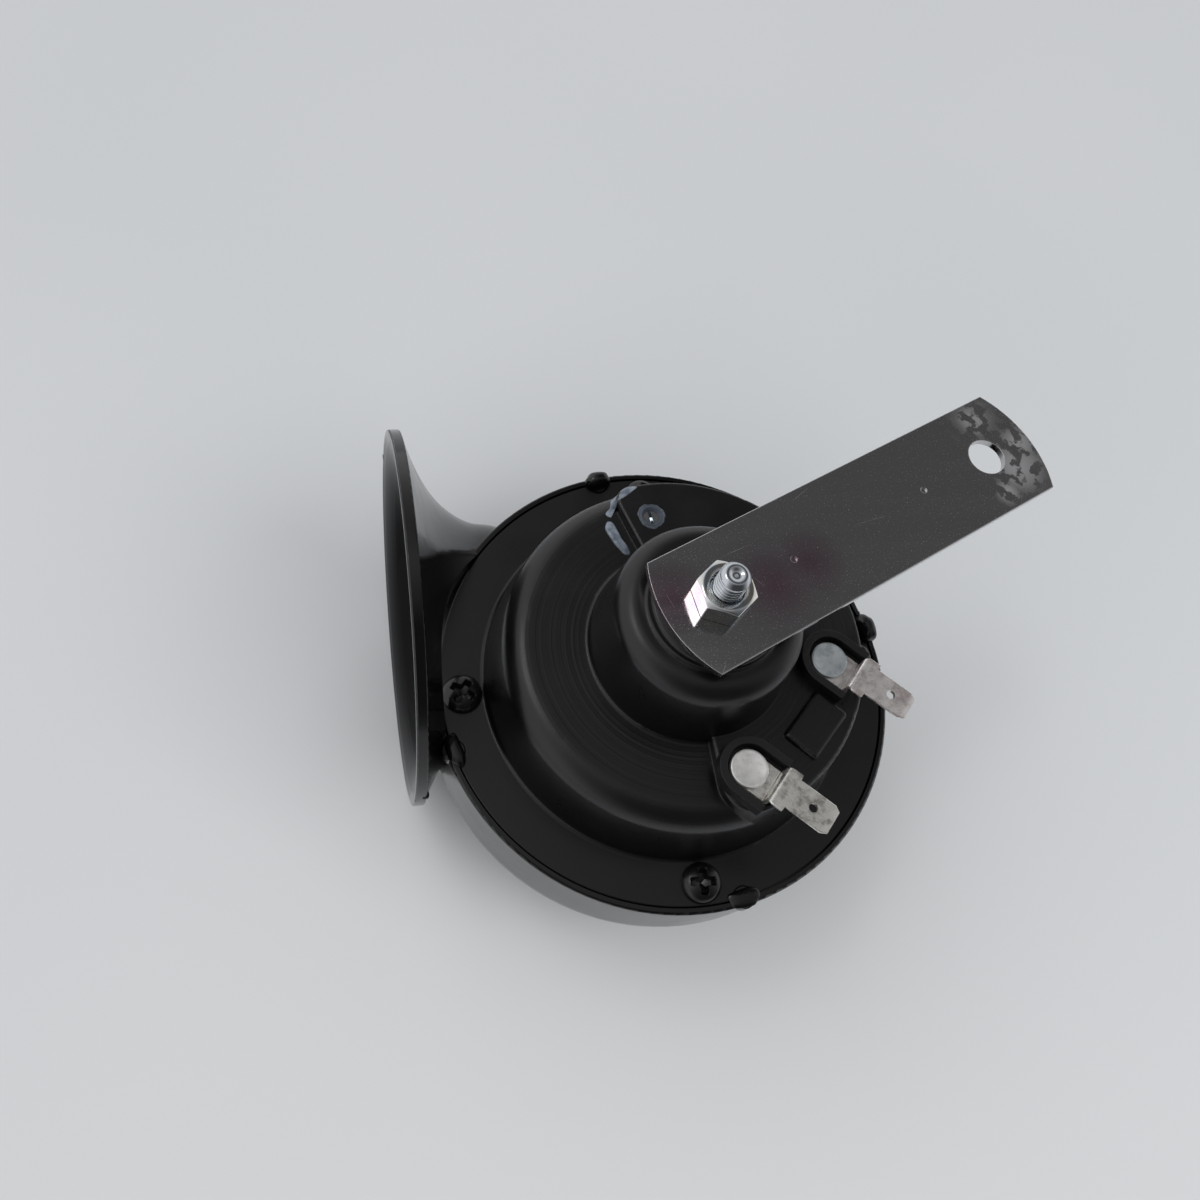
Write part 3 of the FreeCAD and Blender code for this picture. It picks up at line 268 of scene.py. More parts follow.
# Trumpet shell and its cover
# One black moulding of glossy plastic: rim, spiral duct and flared mouth. Four posts of the rim
# are melted down over the housing's flange, and small stubs are left where the mould was fed.
MM = 0.001
STUD_AXIS = Vector((-64.022, -27.044, 0.0))
FLANGE_TOP = -40.4
POST_CIRCLE = 48.6
POST_REACH = 2.25
MELTED_ABOVE = 0.5
MELTED_TO = 0.2
CAP_RISE = 0.05
STAKED_POSTS = (
    # angle, distance from the axis, half length, half width, height, all in mm and degrees
    (194.0, 48.3, 3.6, 1.7, 1.2),
    (278.2, 48.6, 3.4, 1.9, 0.7),
    (7.8, 49.3, 3.4, 2.1, 2.6),
    (98.8, 49.0, 3.0, 1.9, 2.9),
)
GATE_STUBS = (
    # place on the lip, and half sizes
    ((-118.6, 33.9, -46.0), (0.7, 0.9, 0.8)),
    ((-117.2, -45.5, -46.6), (0.8, 1.0, 0.9)),
)


def turned_place(angle, distance, height):
    """A point round the stud's axis, in mm."""
    turn = math.radians(angle)
    return STUD_AXIS + Vector((distance * math.cos(turn), distance * math.sin(turn), height))


def lump(mesh, centre, half_sizes, turn, squareness=2.6, steps=20):
    """Adds a rounded lump of plastic, fuller than an ellipsoid by its squareness."""
    power = 2.0 / squareness

    def bulge(value):
        return math.copysign(abs(value) ** power, value)

    spin = Matrix.Rotation(turn, 3, "Z")
    rings = []
    for row in range(1, steps):
        rise = math.pi * row / steps - math.pi / 2
        ring = []
        for column in range(2 * steps):
            around = math.pi * column / steps
            wobble = 1 + 0.05 * math.sin(3 * around + 1.7) + 0.04 * math.sin(5 * around)
            ring.append(mesh.verts.new(MM * (centre + spin @ Vector((
                half_sizes[0] * bulge(math.cos(rise)) * bulge(math.cos(around)) * wobble,
                half_sizes[1] * bulge(math.cos(rise)) * bulge(math.sin(around)) * wobble,
                half_sizes[2] * bulge(math.sin(rise)))))))
        rings.append(ring)
    for lower, upper in zip(rings, rings[1:]):
        for column in range(2 * steps):
            after = (column + 1) % (2 * steps)
            mesh.faces.new((lower[column], lower[after], upper[after], upper[column]))
    mesh.faces.new(list(reversed(rings[0])))
    mesh.faces.new(rings[-1])


def new_piece(name, mesh, smooth_angle=35.0):
    """Makes an object of a finished bmesh, shaded smooth up to the given angle."""
    data = bpy.data.meshes.new(name)
    bmesh.ops.recalc_face_normals(mesh, faces=mesh.faces)
    mesh.to_mesh(data)
    mesh.free()
    data.shade_smooth()
    data.set_sharp_from_angle(angle=math.radians(smooth_angle))
    piece = bpy.data.objects.new(name, data)
    scene.collection.objects.link(piece)
    return piece


def hand_over(piece, slot, *replaced):
    """Fixes a piece to the horn, in place of the named solids. The slot argument is not used."""
    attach(piece, "root")
    if replaced:
        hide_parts(*replaced)


shell_mesh = bmesh.new()
shell_mesh.from_mesh(nodes["trumpet_shell"].data)
for angle, distance, half_length, half_width, height in STAKED_POSTS:
    post = turned_place(angle, POST_CIRCLE, 0.0) * MM
    for vertex in shell_mesh.verts:
        on_post = (vertex.co.xy - post.xy).length < POST_REACH * MM
        if on_post and vertex.co.z > (FLANGE_TOP + MELTED_ABOVE) * MM:
            vertex.co.z = (FLANGE_TOP + MELTED_TO) * MM
    centre = turned_place(angle, distance, FLANGE_TOP + CAP_RISE)
    lump(shell_mesh, centre, (half_width, half_length, height), math.radians(angle))
for centre, half_sizes in GATE_STUBS:
    lump(shell_mesh, Vector(centre), half_sizes, 0.0, steps=8)
shell = new_piece("trumpet_moulding", shell_mesh)
hand_over(shell, "shell_plastic", "trumpet_shell")

shell_gloss = Finish("moulded_black", (0.0026, 0.0026, 0.0030), 0.13)
shell_gloss.feed("Roughness", shell_gloss.steps(shell_gloss.noise(140.0), [(0.3, 0.1), (0.75, 0.2)]))
shell_gloss.bump(shell_gloss.noise(220.0, 2.0), 0.06, 0.0004)
shell_gloss.bump(shell_gloss.noise(2600.0, 2.0), 0.04, 0.00004)
dress(nodes["trumpet_cover"], shell_gloss)
dress(shell, shell_gloss)

# The flare's inside has a duller skin than its lip and its outside.
MOUTH_CENTRE = Vector((-119.2, -5.84, -47.5))
INSIDE_HALF_SIZES = Vector((16.0, 38.2, 38.2))
INSIDE_ROUGHNESS = 0.16
INSIDE_SPECULAR = 0.1
flare_inside = shell_gloss.node(
    "BsdfPrincipled", Roughness=INSIDE_ROUGHNESS, Specular_IOR_Level=INSIDE_SPECULAR)
flare_inside.inputs["Base Color"].default_value = shell_gloss.shader.inputs["Base Color"].default_value
mouth_reach = shell_gloss.reach_of(MOUTH_CENTRE * MM, INSIDE_HALF_SIZES * MM)
facing = shell_gloss.node("SeparateXYZ")
shell_gloss.link(shell_gloss.node("NewGeometry").outputs["Normal"], facing.inputs[0])
outside = shell_gloss.combine(
    "MAXIMUM",
    shell_gloss.steps(mouth_reach, [(0.985, 0.0), (1.0, 1.0)]),
    shell_gloss.steps(facing.outputs["X"], [(0.45, 0.0), (0.5, 1.0)]))
skins = shell_gloss.node("MixShader")
shell_gloss.link(outside, skins.inputs["Fac"])
shell_gloss.link(flare_inside.outputs["BSDF"], skins.inputs[1])
shell_gloss.link(shell_gloss.shader.outputs["BSDF"], skins.inputs[2])
shell_gloss.link(skins.outputs["Shader"], shell_gloss.output.inputs["Surface"])


# Rear housing
# A steel sheet pressed in one piece and dipped in satin black paint. The drawing tool left
# fine rings on the plateau round the dome's foot, and the paint rounds every edge.
RING_SCALE = 1100.0
RINGS_START = 0.021
RINGS_END = 0.031
PAINT_ROUNDING = 0.00045
satin_paint = Finish("satin_black_paint", (0.0034, 0.0033, 0.0040), 0.3)
satin_paint.round_off(PAINT_ROUNDING)
satin_paint.feed("Roughness", satin_paint.steps(satin_paint.noise(120.0), [(0.3, 0.27), (0.75, 0.36)]))
satin_paint.bump(satin_paint.noise(1500.0, 2.0), 0.07, 0.00008)
satin_paint.bump(satin_paint.noise(90.0, 2.0), 0.05, 0.0006)
from_axis = satin_paint.node("VectorMath", operation="SUBTRACT")
satin_paint.link(satin_paint.place, from_axis.inputs[0])
from_axis.inputs[1].default_value = STUD_AXIS * MM
across_axis = satin_paint.node("VectorMath", operation="MULTIPLY")
satin_paint.link(from_axis.outputs["Vector"], across_axis.inputs[0])
across_axis.inputs[1].default_value = (1, 1, 0)
axis_distance = satin_paint.node("VectorMath", operation="LENGTH")
satin_paint.link(across_axis.outputs["Vector"], axis_distance.inputs[0])
rings = satin_paint.node("TexNoise", noise_dimensions="1D", Scale=RING_SCALE, Detail=3.0)
satin_paint.link(axis_distance.outputs["Value"], rings.inputs["W"])
near_foot = satin_paint.steps(axis_distance.outputs["Value"], [
    (RINGS_START - 0.001, 0.0), (RINGS_START, 1.0), (RINGS_END, 0.6), (RINGS_END + 0.006, 0.12)])
satin_paint.bump(satin_paint.combine("MULTIPLY", rings.outputs["Fac"], near_foot), 0.5, 0.00012)
dress(nodes["rear_housing"], satin_paint)


# Mounting strap
# A flat strip of bright zinc plated steel. It has fine rolling marks, pits and a few scratches, and
# some residue lies round the mounting hole. A purple reflection by the nut is painted into its colour.
STRAP_TURN = math.radians(22.9)
SCRATCHES = (
    # centre in mm, direction in degrees, length and width in mm
    ((-55.8, -24.4), -52.0, 3.4, 0.07),
    ((-58.8, -17.6), 20.0, 7.0, 0.05),
    ((-43.0, -6.4), 34.0, 5.0, 0.05),
    ((-66.5, -41.0), 60.0, 4.0, 0.05),
    ((-30.0, -13.0), 12.0, 9.0, 0.04),
    ((-73.5, -27.0), -70.0, 3.0, 0.06),
    ((-61.0, -40.0), 25.0, 6.0, 0.04),
)
STAINS = (
    # centre in mm and radius in mm
    ((-0.3, 8.8), 4.6), ((6.0, -2.6), 5.5), ((8.5, 3.0), 4.6), ((2.0, -8.3), 3.4),
)
PAINTED_REFLECTION_PATCHES = (
    # centre in mm and radius in mm of each patch of painted purple reflection
    ((-73.0, -26.0), 9.0), ((-53.0, -25.0), 11.0), ((-45.0, -21.0), 9.0),
)
STRAP_ROUNDING = 0.00018
bright_zinc = Finish("bright_zinc", (0.56, 0.55, 0.56), 0.1, 1.0)
rolling = bright_zinc.noise(260.0, 4.0, stretch=(0.05, 1.0, 1.0), turn=-STRAP_TURN)
pits = bright_zinc.noise(3400.0, 2.0)
haze = bright_zinc.steps(rolling, [(0.35, 0.07), (0.7, 0.14)])
marks = bright_zinc.steps(pits, [(0.61, 0.0), (0.71, 0.5)])
for centre, direction_angle, length, width in SCRATCHES:
    scratch = bright_zinc.reach_of(
        Vector((*centre, 0)) * MM, (length / 2 * MM, width / 2 * MM, 1.0), math.radians(direction_angle))
    marks = bright_zinc.combine("MAXIMUM", marks, bright_zinc.steps(scratch, [(0.7, 0.8), (1.0, 0.0)]))


def zinc_patches(patches, core, ease):
    """A number that is 1 in the core of each round patch and falls to 0 at its rim."""
    largest = None
    for centre, spread in patches:
        away = bright_zinc.distance_to(Vector((*centre, 0)) * MM)
        patch = bright_zinc.steps(away, [(spread * core * MM, 1.0), (spread * MM, 0.0)], ease)
        largest = patch if largest is None else bright_zinc.combine("MAXIMUM", largest, patch)
    return largest


flakes = bright_zinc.steps(bright_zinc.noise(330.0, 5.0), [(0.47, 0.0), (0.52, 1.0)])
residue = bright_zinc.combine("MULTIPLY", zinc_patches(STAINS, 0.5, "LINEAR"), flakes)
dulled = bright_zinc.combine("MAXIMUM", marks, residue)
bright_zinc.feed("Roughness", bright_zinc.blend_by(dulled, haze, 0.55))
bright_zinc.bump(rolling, 0.04, 0.00006)
bright_zinc.bump(pits, 0.05, 0.00003)
# Painted reflection: the strap's colour turns purple in round patches by the nut.
bright_zinc.feed("Base Color", bright_zinc.steps(
    zinc_patches(PAINTED_REFLECTION_PATCHES, 0.0, "EASE"), [(0.0, (0.57, 0.57, 0.575)), (1.0, (0.44, 0.30, 0.36))]))
bright_zinc.round_off(STRAP_ROUNDING)
dress(nodes["mounting_strap"], bright_zinc)


# Nut
# A plain 10 mm hexagon nut of zinc plated steel. Its corners are turned off at the top, and
# the thread's mouth is countersunk.
NUT_FLATS = 10.0
NUT_HEIGHT = 5.0
NUT_TURN = 37.7
NUT_CORNER = 0.3
NUT_BORE = 2.75
NUT_CROWN = NUT_FLATS / 2 - 0.25
NUT_CROWN_SLOPE = math.tan(math.radians(27))
NUT_STEPS = 144
NUT_SMOOTHING = 22.0
CORNER_LEANS = (-1.3, -0.65, 0.65, 1.3)


def hexagon_reach(angle):
    """Distance from the axis to the side of a hexagon with rounded corners, in mm."""
    off = math.radians((angle + 30) % 60 - 30)
    corner_centre = (NUT_FLATS / 2 - NUT_CORNER) / math.cos(math.pi / 6)
    tangent = math.atan2(NUT_CORNER / 2, corner_centre + NUT_CORNER * math.cos(math.pi / 6))
    if abs(off) < tangent:
        sideways = corner_centre * math.sin(off)
        return corner_centre * math.cos(off) + math.sqrt(NUT_CORNER ** 2 - sideways ** 2)
    return NUT_FLATS / 2 / math.cos(math.pi / 6 - abs(off))


def nut_section(angle):
    """Radius and height of the nut's surface at one angle, from the bore outwards and down."""
    side = hexagon_reach(angle)
    drop = (side - NUT_CROWN) * NUT_CROWN_SLOPE
    return [
        (NUT_BORE, 0.1), (NUT_BORE, NUT_HEIGHT - 0.75), (3.05, NUT_HEIGHT - 0.42), (3.45, NUT_HEIGHT - 0.05),
        (3.6, NUT_HEIGHT), (NUT_CROWN - 0.15, NUT_HEIGHT), (NUT_CROWN, NUT_HEIGHT - 0.03),
        (side - 0.12, NUT_HEIGHT - drop + 0.12 * NUT_CROWN_SLOPE - 0.03),
        (side, NUT_HEIGHT - drop - 0.14),
        (side, 0.22), (side - 0.2, 0.02), (side - 0.5, 0.01),
    ]


def lathe(mesh, section, centre, angles):
    """Turns a section, which may change with the angle, into a closed ring of faces."""
    columns = []
    for angle in angles:
        turn = math.radians(angle)
        columns.append([
            mesh.verts.new(MM * (centre + Vector((radius * math.cos(turn), radius * math.sin(turn), height))))
            for radius, height in section(angle)])
    for here, after in zip(columns, columns[1:] + columns[:1]):
        rows = len(here)
        for row in range(rows):
            below = (row + 1) % rows
            mesh.faces.new((here[row], after[row], after[below], here[below]))


def full_turn(count):
    """Evenly spaced angles in degrees."""
    return [360 * step / count for step in range(count)]


nut_mesh = bmesh.new()
nut_angles = sorted(
    set(round(angle, 3) for angle in full_turn(NUT_STEPS))
    | set((60 * corner + lean) % 360 for corner in range(6) for lean in CORNER_LEANS))
lathe(nut_mesh, nut_section, Vector((0, 0, 0)), nut_angles)
bmesh.ops.rotate(nut_mesh, verts=nut_mesh.verts, matrix=Matrix.Rotation(math.radians(NUT_TURN), 3, "Z"))
bmesh.ops.translate(nut_mesh, verts=nut_mesh.verts, vec=STUD_AXIS * MM)
nut = new_piece("hexagon_nut", nut_mesh, NUT_SMOOTHING)
hand_over(nut, "zinc_steel", "strap_nut")
zinc_plate = Finish("zinc_plate", (0.82, 0.81, 0.77), 0.1, 1.0)
zinc_plate.feed("Roughness", zinc_plate.steps(zinc_plate.noise(500.0), [(0.3, 0.05), (0.7, 0.16)]))
zinc_plate.feed("Base Color", zinc_plate.steps(zinc_plate.noise(230.0, 3.0), [
    (0.38, (0.78, 0.755, 0.67)), (0.52, (0.70, 0.70, 0.69)), (0.66, (0.52, 0.58, 0.64))]))
zinc_plate.bump(zinc_plate.noise(700.0), 0.12, 0.00016)
dress(nut, zinc_plate)


# Stud
# The magnet's steel core ends in a rolled M6 thread that comes out through the boss and the
# strap. Its end is chamfered and has a small centre mark.
STUD_RADIUS = 2.9
THREAD_DEPTH = 0.55
STUD_COLUMNS = 72
THREAD_ROWS_PER_TURN = 10
THREAD_START = -1.6
THREAD_FADE = 0.8
GROOVE_NARROWING = 2.6
MERGE_DISTANCE = 0.000003
stud_low, stud_high = (corner.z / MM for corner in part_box("pole_core"))
CORE = ((8.0, stud_low), (8.0, -6.45), (10.4, -6.35), (10.4, -2.75), (STUD_RADIUS, -2.7))
THREAD_END = stud_high - 0.75


def stud_section(angle):
    """The core's steps, the thread's wave at this angle, and the chamfered end."""
    rows = [(0.002, stud_low)] + list(CORE)
    for row in range(int((THREAD_END - THREAD_START) * THREAD_ROWS_PER_TURN)):
        height = THREAD_START + row / THREAD_ROWS_PER_TURN
        phase = (height - angle / 360) % 1.0
        groove = max(0.0, 1 - abs(phase - 0.5) * GROOVE_NARROWING)
        fade = min(1.0, (THREAD_END - height) / THREAD_FADE)
        rows.append((STUD_RADIUS - THREAD_DEPTH * groove * fade, height))
    rows += [
        (STUD_RADIUS - 0.04, THREAD_END), (STUD_RADIUS - 0.55, stud_high - 0.22),
        (STUD_RADIUS - 0.85, stud_high - 0.05), (STUD_RADIUS - 1.1, stud_high),
        (1.25, stud_high - 0.08), (1.0, stud_high - 0.3), (0.4, stud_high - 0.42), (0.002, stud_high - 0.2)]
    return rows


stud_mesh = bmesh.new()
lathe(stud_mesh, stud_section, STUD_AXIS, full_turn(STUD_COLUMNS))
bmesh.ops.remove_doubles(stud_mesh, verts=stud_mesh.verts, dist=MERGE_DISTANCE)
stud = new_piece("threaded_stud", stud_mesh, 50.0)
hand_over(stud, "zinc_steel", "pole_core")
thread_zinc = Finish("thread_zinc", (0.54, 0.57, 0.60), 0.1, 1.0)
thread_zinc.feed("Roughness", thread_zinc.steps(thread_zinc.noise(600.0), [(0.3, 0.07), (0.7, 0.2)]))
thread_zinc.bump(thread_zinc.noise(900.0), 0.16, 0.00014)
dress(stud, thread_zinc)


# Flange screws
# Four pan head screws of black oxidised steel with a Phillips recess. They go down through the
# housing's flange into the shell and clamp the diaphragm between them.
SCREW_RADIUS = 4.1
SCREW_HEIGHT = 2.5
CROWN_FALL = 0.075
SHOULDER_START = 3.1
SHOULDER_FALL = 0.62
SCREW_UNDERSIDE = (
    # radius and height over the flange in mm: the head's foot and the shank
    (SCREW_RADIUS, 0.02), (1.95, 0.02), (1.95, -12.0),
)
SCREW_STEPS = 144
HEAD_ROWS = 56
SCREW_SMOOTHING = 38.0
CROSS_TURNS = {1: 53.0, 2: -6.0, 3: 21.0, 4: 70.0}
SCREW_ANGLES = {1: 180.0, 2: 268.3, 3: 0.0, 4: 87.0}
SCREW_CIRCLE = 44.1
CROSS_HALF_WIDTH = 0.86
CROSS_HALF_LENGTH = 2.7
CROSS_DEPTH = 2.6
CROSS_SIDE_TAPER = 0.3
CROSS_END_TAPER = 0.8


def screw_surface(x, y):
    """Height of the domed head with its tapered cross recess, in mm over the flange."""
    radius = math.hypot(x, y)
    shoulder = max(0.0, (radius - SHOULDER_START) / (SCREW_RADIUS - SHOULDER_START))
    top = SCREW_HEIGHT - CROWN_FALL * radius ** 2 - SHOULDER_FALL * shoulder ** 2.2
    along, across = max(abs(x), abs(y)), min(abs(x), abs(y))
    side = (CROSS_HALF_WIDTH + 0.4 * max(0.0, 1 - along / 1.4) - across) / CROSS_SIDE_TAPER
    end = (CROSS_HALF_LENGTH - along) / CROSS_END_TAPER
    sunk = max(0.0, min(1.0, side)) * max(0.0, min(1.0, end))
    return top - CROSS_DEPTH * sunk * (0.55 + 0.45 * max(0.0, 1 - along / CROSS_HALF_LENGTH))


def screw_ring(mesh, to_horn, radius, height=None):
    """One ring of the screw, on the head's surface where no height is given."""
    ring = []
    for angle in full_turn(SCREW_STEPS):
        x, y = radius * math.cos(math.radians(angle)), radius * math.sin(math.radians(angle))
        z = screw_surface(x, y) if height is None else height
        ring.append(mesh.verts.new(to_horn @ (MM * Vector((x, y, z)))))
    return ring


black_screw = Finish("black_oxide", (0.004, 0.004, 0.0046), 0.22)
black_screw.feed("Roughness", black_screw.steps(black_screw.noise(500.0), [(0.3, 0.16), (0.7, 0.3)]))
black_screw.bump(black_screw.noise(900.0), 0.06, 0.0001)
for number, angle in SCREW_ANGLES.items():
    centre = turned_place(angle, SCREW_CIRCLE, FLANGE_TOP)
    to_horn = Matrix.Translation(centre * MM) @ Matrix.Rotation(math.radians(CROSS_TURNS[number]), 4, "Z")
    screw_mesh = bmesh.new()
    crown = screw_mesh.verts.new(to_horn @ (MM * Vector((0, 0, screw_surface(0, 0)))))
    screw_rings = [
        screw_ring(screw_mesh, to_horn, SCREW_RADIUS * row / HEAD_ROWS) for row in range(1, HEAD_ROWS + 1)]
    for radius, height in SCREW_UNDERSIDE:
        screw_rings.append(screw_ring(screw_mesh, to_horn, radius, height))
    for step in range(SCREW_STEPS):
        after = (step + 1) % SCREW_STEPS
        screw_mesh.faces.new((crown, screw_rings[0][step], screw_rings[0][after]))
        for inner, outer in zip(screw_rings, screw_rings[1:]):
            screw_mesh.faces.new((inner[step], outer[step], outer[after], inner[after]))
    screw_mesh.faces.new(screw_rings[-1])
    screw = new_piece("pan_head_screw_%d" % number, screw_mesh, SCREW_SMOOTHING)
    hand_over(screw, "screw_black", "flange_screw_%d" % number)
    dress(screw, black_screw)


# Terminals
# Stamped brass tabs with a tin plate, bent up in a step from their leg. A rivet with a broad
# flat head holds each leg down in a black moulded tray. The tin has dulled and stained.
TERMINAL_AXIS = -47.3
TERMINAL_SPREAD = 31.7
TERMINAL_CIRCLE = 28.0
TAB_TURN = math.radians(-44.5)
TAB_THICK = 0.8
LEG_MIDDLE = -19.0
TAB_MIDDLE = -15.5
LEG_END = 5.1
LEG_HALF_WIDTH = 3.7
STEP_WIDENING = 0.55
BEND_RADIUS = 0.7
RISER_PLACE = LEG_END + BEND_RADIUS
TIP_THINNING = 0.45
EDGE_BREAK = 0.2
LATCH_DISTANCE = 13.3
LATCH_RADIUS = 0.9
LATCH_STEPS = 40
TAB_SMOOTHING = 28.0
BEND_STEPS = 5
TAB_WIDTHS = (
    # distance from the rivet and half width in mm, along the tab from its round end
    (-3.65, 0.6), (-3.3, 1.7), (-2.4, 2.8), (-1.2, 3.5), (0.0, LEG_HALF_WIDTH), (4.6, LEG_HALF_WIDTH),
)
TAB_TOP_WIDTHS = (
    (7.0, 4.25), (8.75, 4.25), (8.85, 3.15), (16.6, 3.15), (16.95, 2.97),
)
TAB_TIP = (17.88, 2.45)
RIVET_STEPS = 96
RIVET_HEAD = (
    # radius and height over the leg in mm
    (0.002, 0.84), (3.05, 0.84), (3.2, 0.9), (3.45, 0.9), (3.68, 0.82), (3.8, 0.6), (3.8, 0.1), (3.7, 0.0),
    (1.8, 0.0), (1.8, -4.3), (0.002, -4.3),
)


def tab_path():
    """Centre line of the bent tab: place, height, slope, half width and half thickness of each section."""
    half_thick = TAB_THICK / 2
    rows = [(x, LEG_MIDDLE, 0.0, half, half_thick) for x, half in TAB_WIDTHS]
    for step in range(BEND_STEPS + 1):
        turn = math.pi / 2 * step / BEND_STEPS
        rows.append((
            LEG_END + BEND_RADIUS * math.sin(turn), LEG_MIDDLE + BEND_RADIUS * (1 - math.cos(turn)), turn,
            LEG_HALF_WIDTH, half_thick))
    for step in range(BEND_STEPS + 1):
        turn = math.pi / 2 * (1 - step / BEND_STEPS)
        rows.append((
            RISER_PLACE + BEND_RADIUS * (1 - math.sin(turn)), TAB_MIDDLE - BEND_RADIUS * (1 - math.cos(turn)),
            turn, LEG_HALF_WIDTH + STEP_WIDENING * step / BEND_STEPS, half_thick))
    rows += [(x, TAB_MIDDLE, 0.0, half, half_thick) for x, half in TAB_TOP_WIDTHS]
    rows.append((TAB_TIP[0], TAB_MIDDLE, 0.0, TAB_TIP[1], half_thick * TIP_THINNING))
    return rows


def tab_ring(mesh, x, height, slope, half, thick):
    """One section across the tab, with its edges broken."""
    normal = Vector((-math.sin(slope), 0, math.cos(slope)))
    centre = Vector((x, 0, height))
    edge = min(EDGE_BREAK, 0.6 * thick)
    outline = (
        (half, -thick + edge), (half, thick - edge), (half - edge, thick), (-half + edge, thick),
        (-half, thick - edge), (-half, -thick + edge), (-half + edge, -thick), (half - edge, -thick),
    )
    return [mesh.verts.new(MM * (centre + Vector((0, across, 0)) + normal * up)) for across, up in outline]


def drill(piece, centre, radius, low, high):
    """Cuts a round hole straight through a piece."""
    cutter_mesh = bmesh.new()
    middle = Matrix.Translation(MM * Vector((centre.x, centre.y, (low + high) / 2)))
    bmesh.ops.create_cone(
        cutter_mesh, cap_ends=True, segments=LATCH_STEPS, radius1=radius * MM, radius2=radius * MM,
        depth=(high - low) * MM, matrix=middle)
    cutter_data = bpy.data.meshes.new("cutter")
    cutter_mesh.to_mesh(cutter_data)
    cutter_mesh.free()
    cutter = bpy.data.objects.new("cutter", cutter_data)
    scene.collection.objects.link(cutter)
    cut = piece.modifiers.new("hole", "BOOLEAN")
    cut.object = cutter
    cut.solver = "EXACT"
    bpy.context.view_layer.update()
    drilled = bpy.data.meshes.new_from_object(piece.evaluated_get(bpy.context.evaluated_depsgraph_get()))
    piece.modifiers.clear()
    piece.data = drilled
    piece.data.set_sharp_from_angle(angle=math.radians(TAB_SMOOTHING))
    bpy.data.objects.remove(cutter)


def tin_finish(name, color, stain, roughness, metallic):
    """Dull tin with stains and small dents."""
    tin = Finish(name, color, roughness, metallic)
    cloud = tin.noise(420.0, 6.0, 0.62)
    rubbed = tuple(min(1, part * 1.12) for part in color)
    tin.feed("Base Color", tin.steps(cloud, [(0.36, stain), (0.5, color), (0.66, rubbed)]))
    tin.feed("Roughness", tin.steps(tin.noise(600.0), [(0.3, roughness - 0.12), (0.7, roughness + 0.08)]))
    tin.bump(cloud, 0.22, 0.0003)
    tin.bump(tin.noise(1500.0), 0.1, 0.0001)
    return tin


moulded_insulator = Finish("moulded_insulator", (0.006, 0.006, 0.0065), 0.36)
moulded_insulator.round_off(0.0002)
moulded_insulator.bump(moulded_insulator.noise(800.0), 0.1, 0.0002)
RIVET_TINS = {
    1: tin_finish("bright_tin", (0.84, 0.83, 0.81), (0.70, 0.69, 0.67), 0.42, 0.72),
    2: tin_finish("blue_grey_tin", (0.60, 0.64, 0.66), (0.42, 0.47, 0.49), 0.40, 0.78),
}
TAB_TINS = {
    1: tin_finish("stained_tin", (0.82, 0.80, 0.75), (0.40, 0.38, 0.34), 0.30, 0.9),
    2: tin_finish("warm_tin", (0.84, 0.80, 0.775), (0.62, 0.54, 0.515), 0.32, 0.86),
}
for number, side in ((1, -1), (2, 1)):
    foot = turned_place(TERMINAL_AXIS + TERMINAL_SPREAD * side, TERMINAL_CIRCLE, 0.0)
    to_horn = Matrix.Translation(foot * MM) @ Matrix.Rotation(TAB_TURN, 4, "Z")
    tab_mesh = bmesh.new()
    sections = [tab_ring(tab_mesh, *row) for row in tab_path()]
    for here, after in zip(sections, sections[1:]):
        for corner in range(8):
            after_corner = (corner + 1) % 8
            tab_mesh.faces.new((here[corner], after[corner], after[after_corner], here[after_corner]))
    tab_mesh.faces.new(sections[0])
    tab_mesh.faces.new(sections[-1])
    bmesh.ops.transform(tab_mesh, matrix=to_horn, verts=tab_mesh.verts)
    tab = new_piece("spade_tab_%d" % number, tab_mesh, TAB_SMOOTHING)
    latch = to_horn @ (MM * Vector((LATCH_DISTANCE, 0, 0))) / MM
    drill(tab, latch, LATCH_RADIUS, TAB_MIDDLE - 1, TAB_MIDDLE + 1)
    hand_over(tab, "tinned_metal", "terminal_blade_%d" % number)
    dress(tab, TAB_TINS[number])
    rivet_mesh = bmesh.new()
    leg_top = foot + Vector((0, 0, LEG_MIDDLE + TAB_THICK / 2))
    lathe(rivet_mesh, lambda angle: RIVET_HEAD, leg_top, full_turn(RIVET_STEPS))
    bmesh.ops.remove_doubles(rivet_mesh, verts=rivet_mesh.verts, dist=MERGE_DISTANCE)
    rivet = new_piece("flat_rivet_%d" % number, rivet_mesh, 40.0)
    hand_over(rivet, "tinned_metal", "terminal_rivet_%d" % number)
    dress(rivet, RIVET_TINS[number])
    dress(nodes["terminal_tray_%d" % number], moulded_insulator)
    dress(nodes["inner_washer_%d" % number], moulded_insulator)


# Adjusting screw and its lacquer
# The screw that sets the breaker's gap sits down in its hole and is sealed with pale lacquer,
# which has run over the platform's edge in two smears.
LACQUER_HOLE = turned_place(96.3, 28.2, -19.9)
LACQUER_STEPS = 120
LACQUER_ROWS = (
    # radius and height over the platform in mm, from the sunk middle to the ring
    (0.002, -1.55), (0.5, -1.3), (1.1, -0.8), (1.7, -0.3),
    (1.95, 0.05), (2.15, 0.24), (2.35, 0.1), (2.5, 0.08),
)
LACQUER_PLUG = ((2.55, -0.1), (2.55, -2.2), (2.0, -2.2), (2.0, -1.7), (0.002, -1.75))
RAY_HEIGHT = 0.02
SMEAR_LAYERS = (
    # share of the outline, share of the thickness, and lift in mm
    (1.0, 0.0, -0.12), (1.0, 0.0, 0.02), (0.93, 0.6, 0.0),
    (0.78, 0.95, 0.0), (0.5, 1.0, 0.0), (0.2, 0.9, 0.0),
)
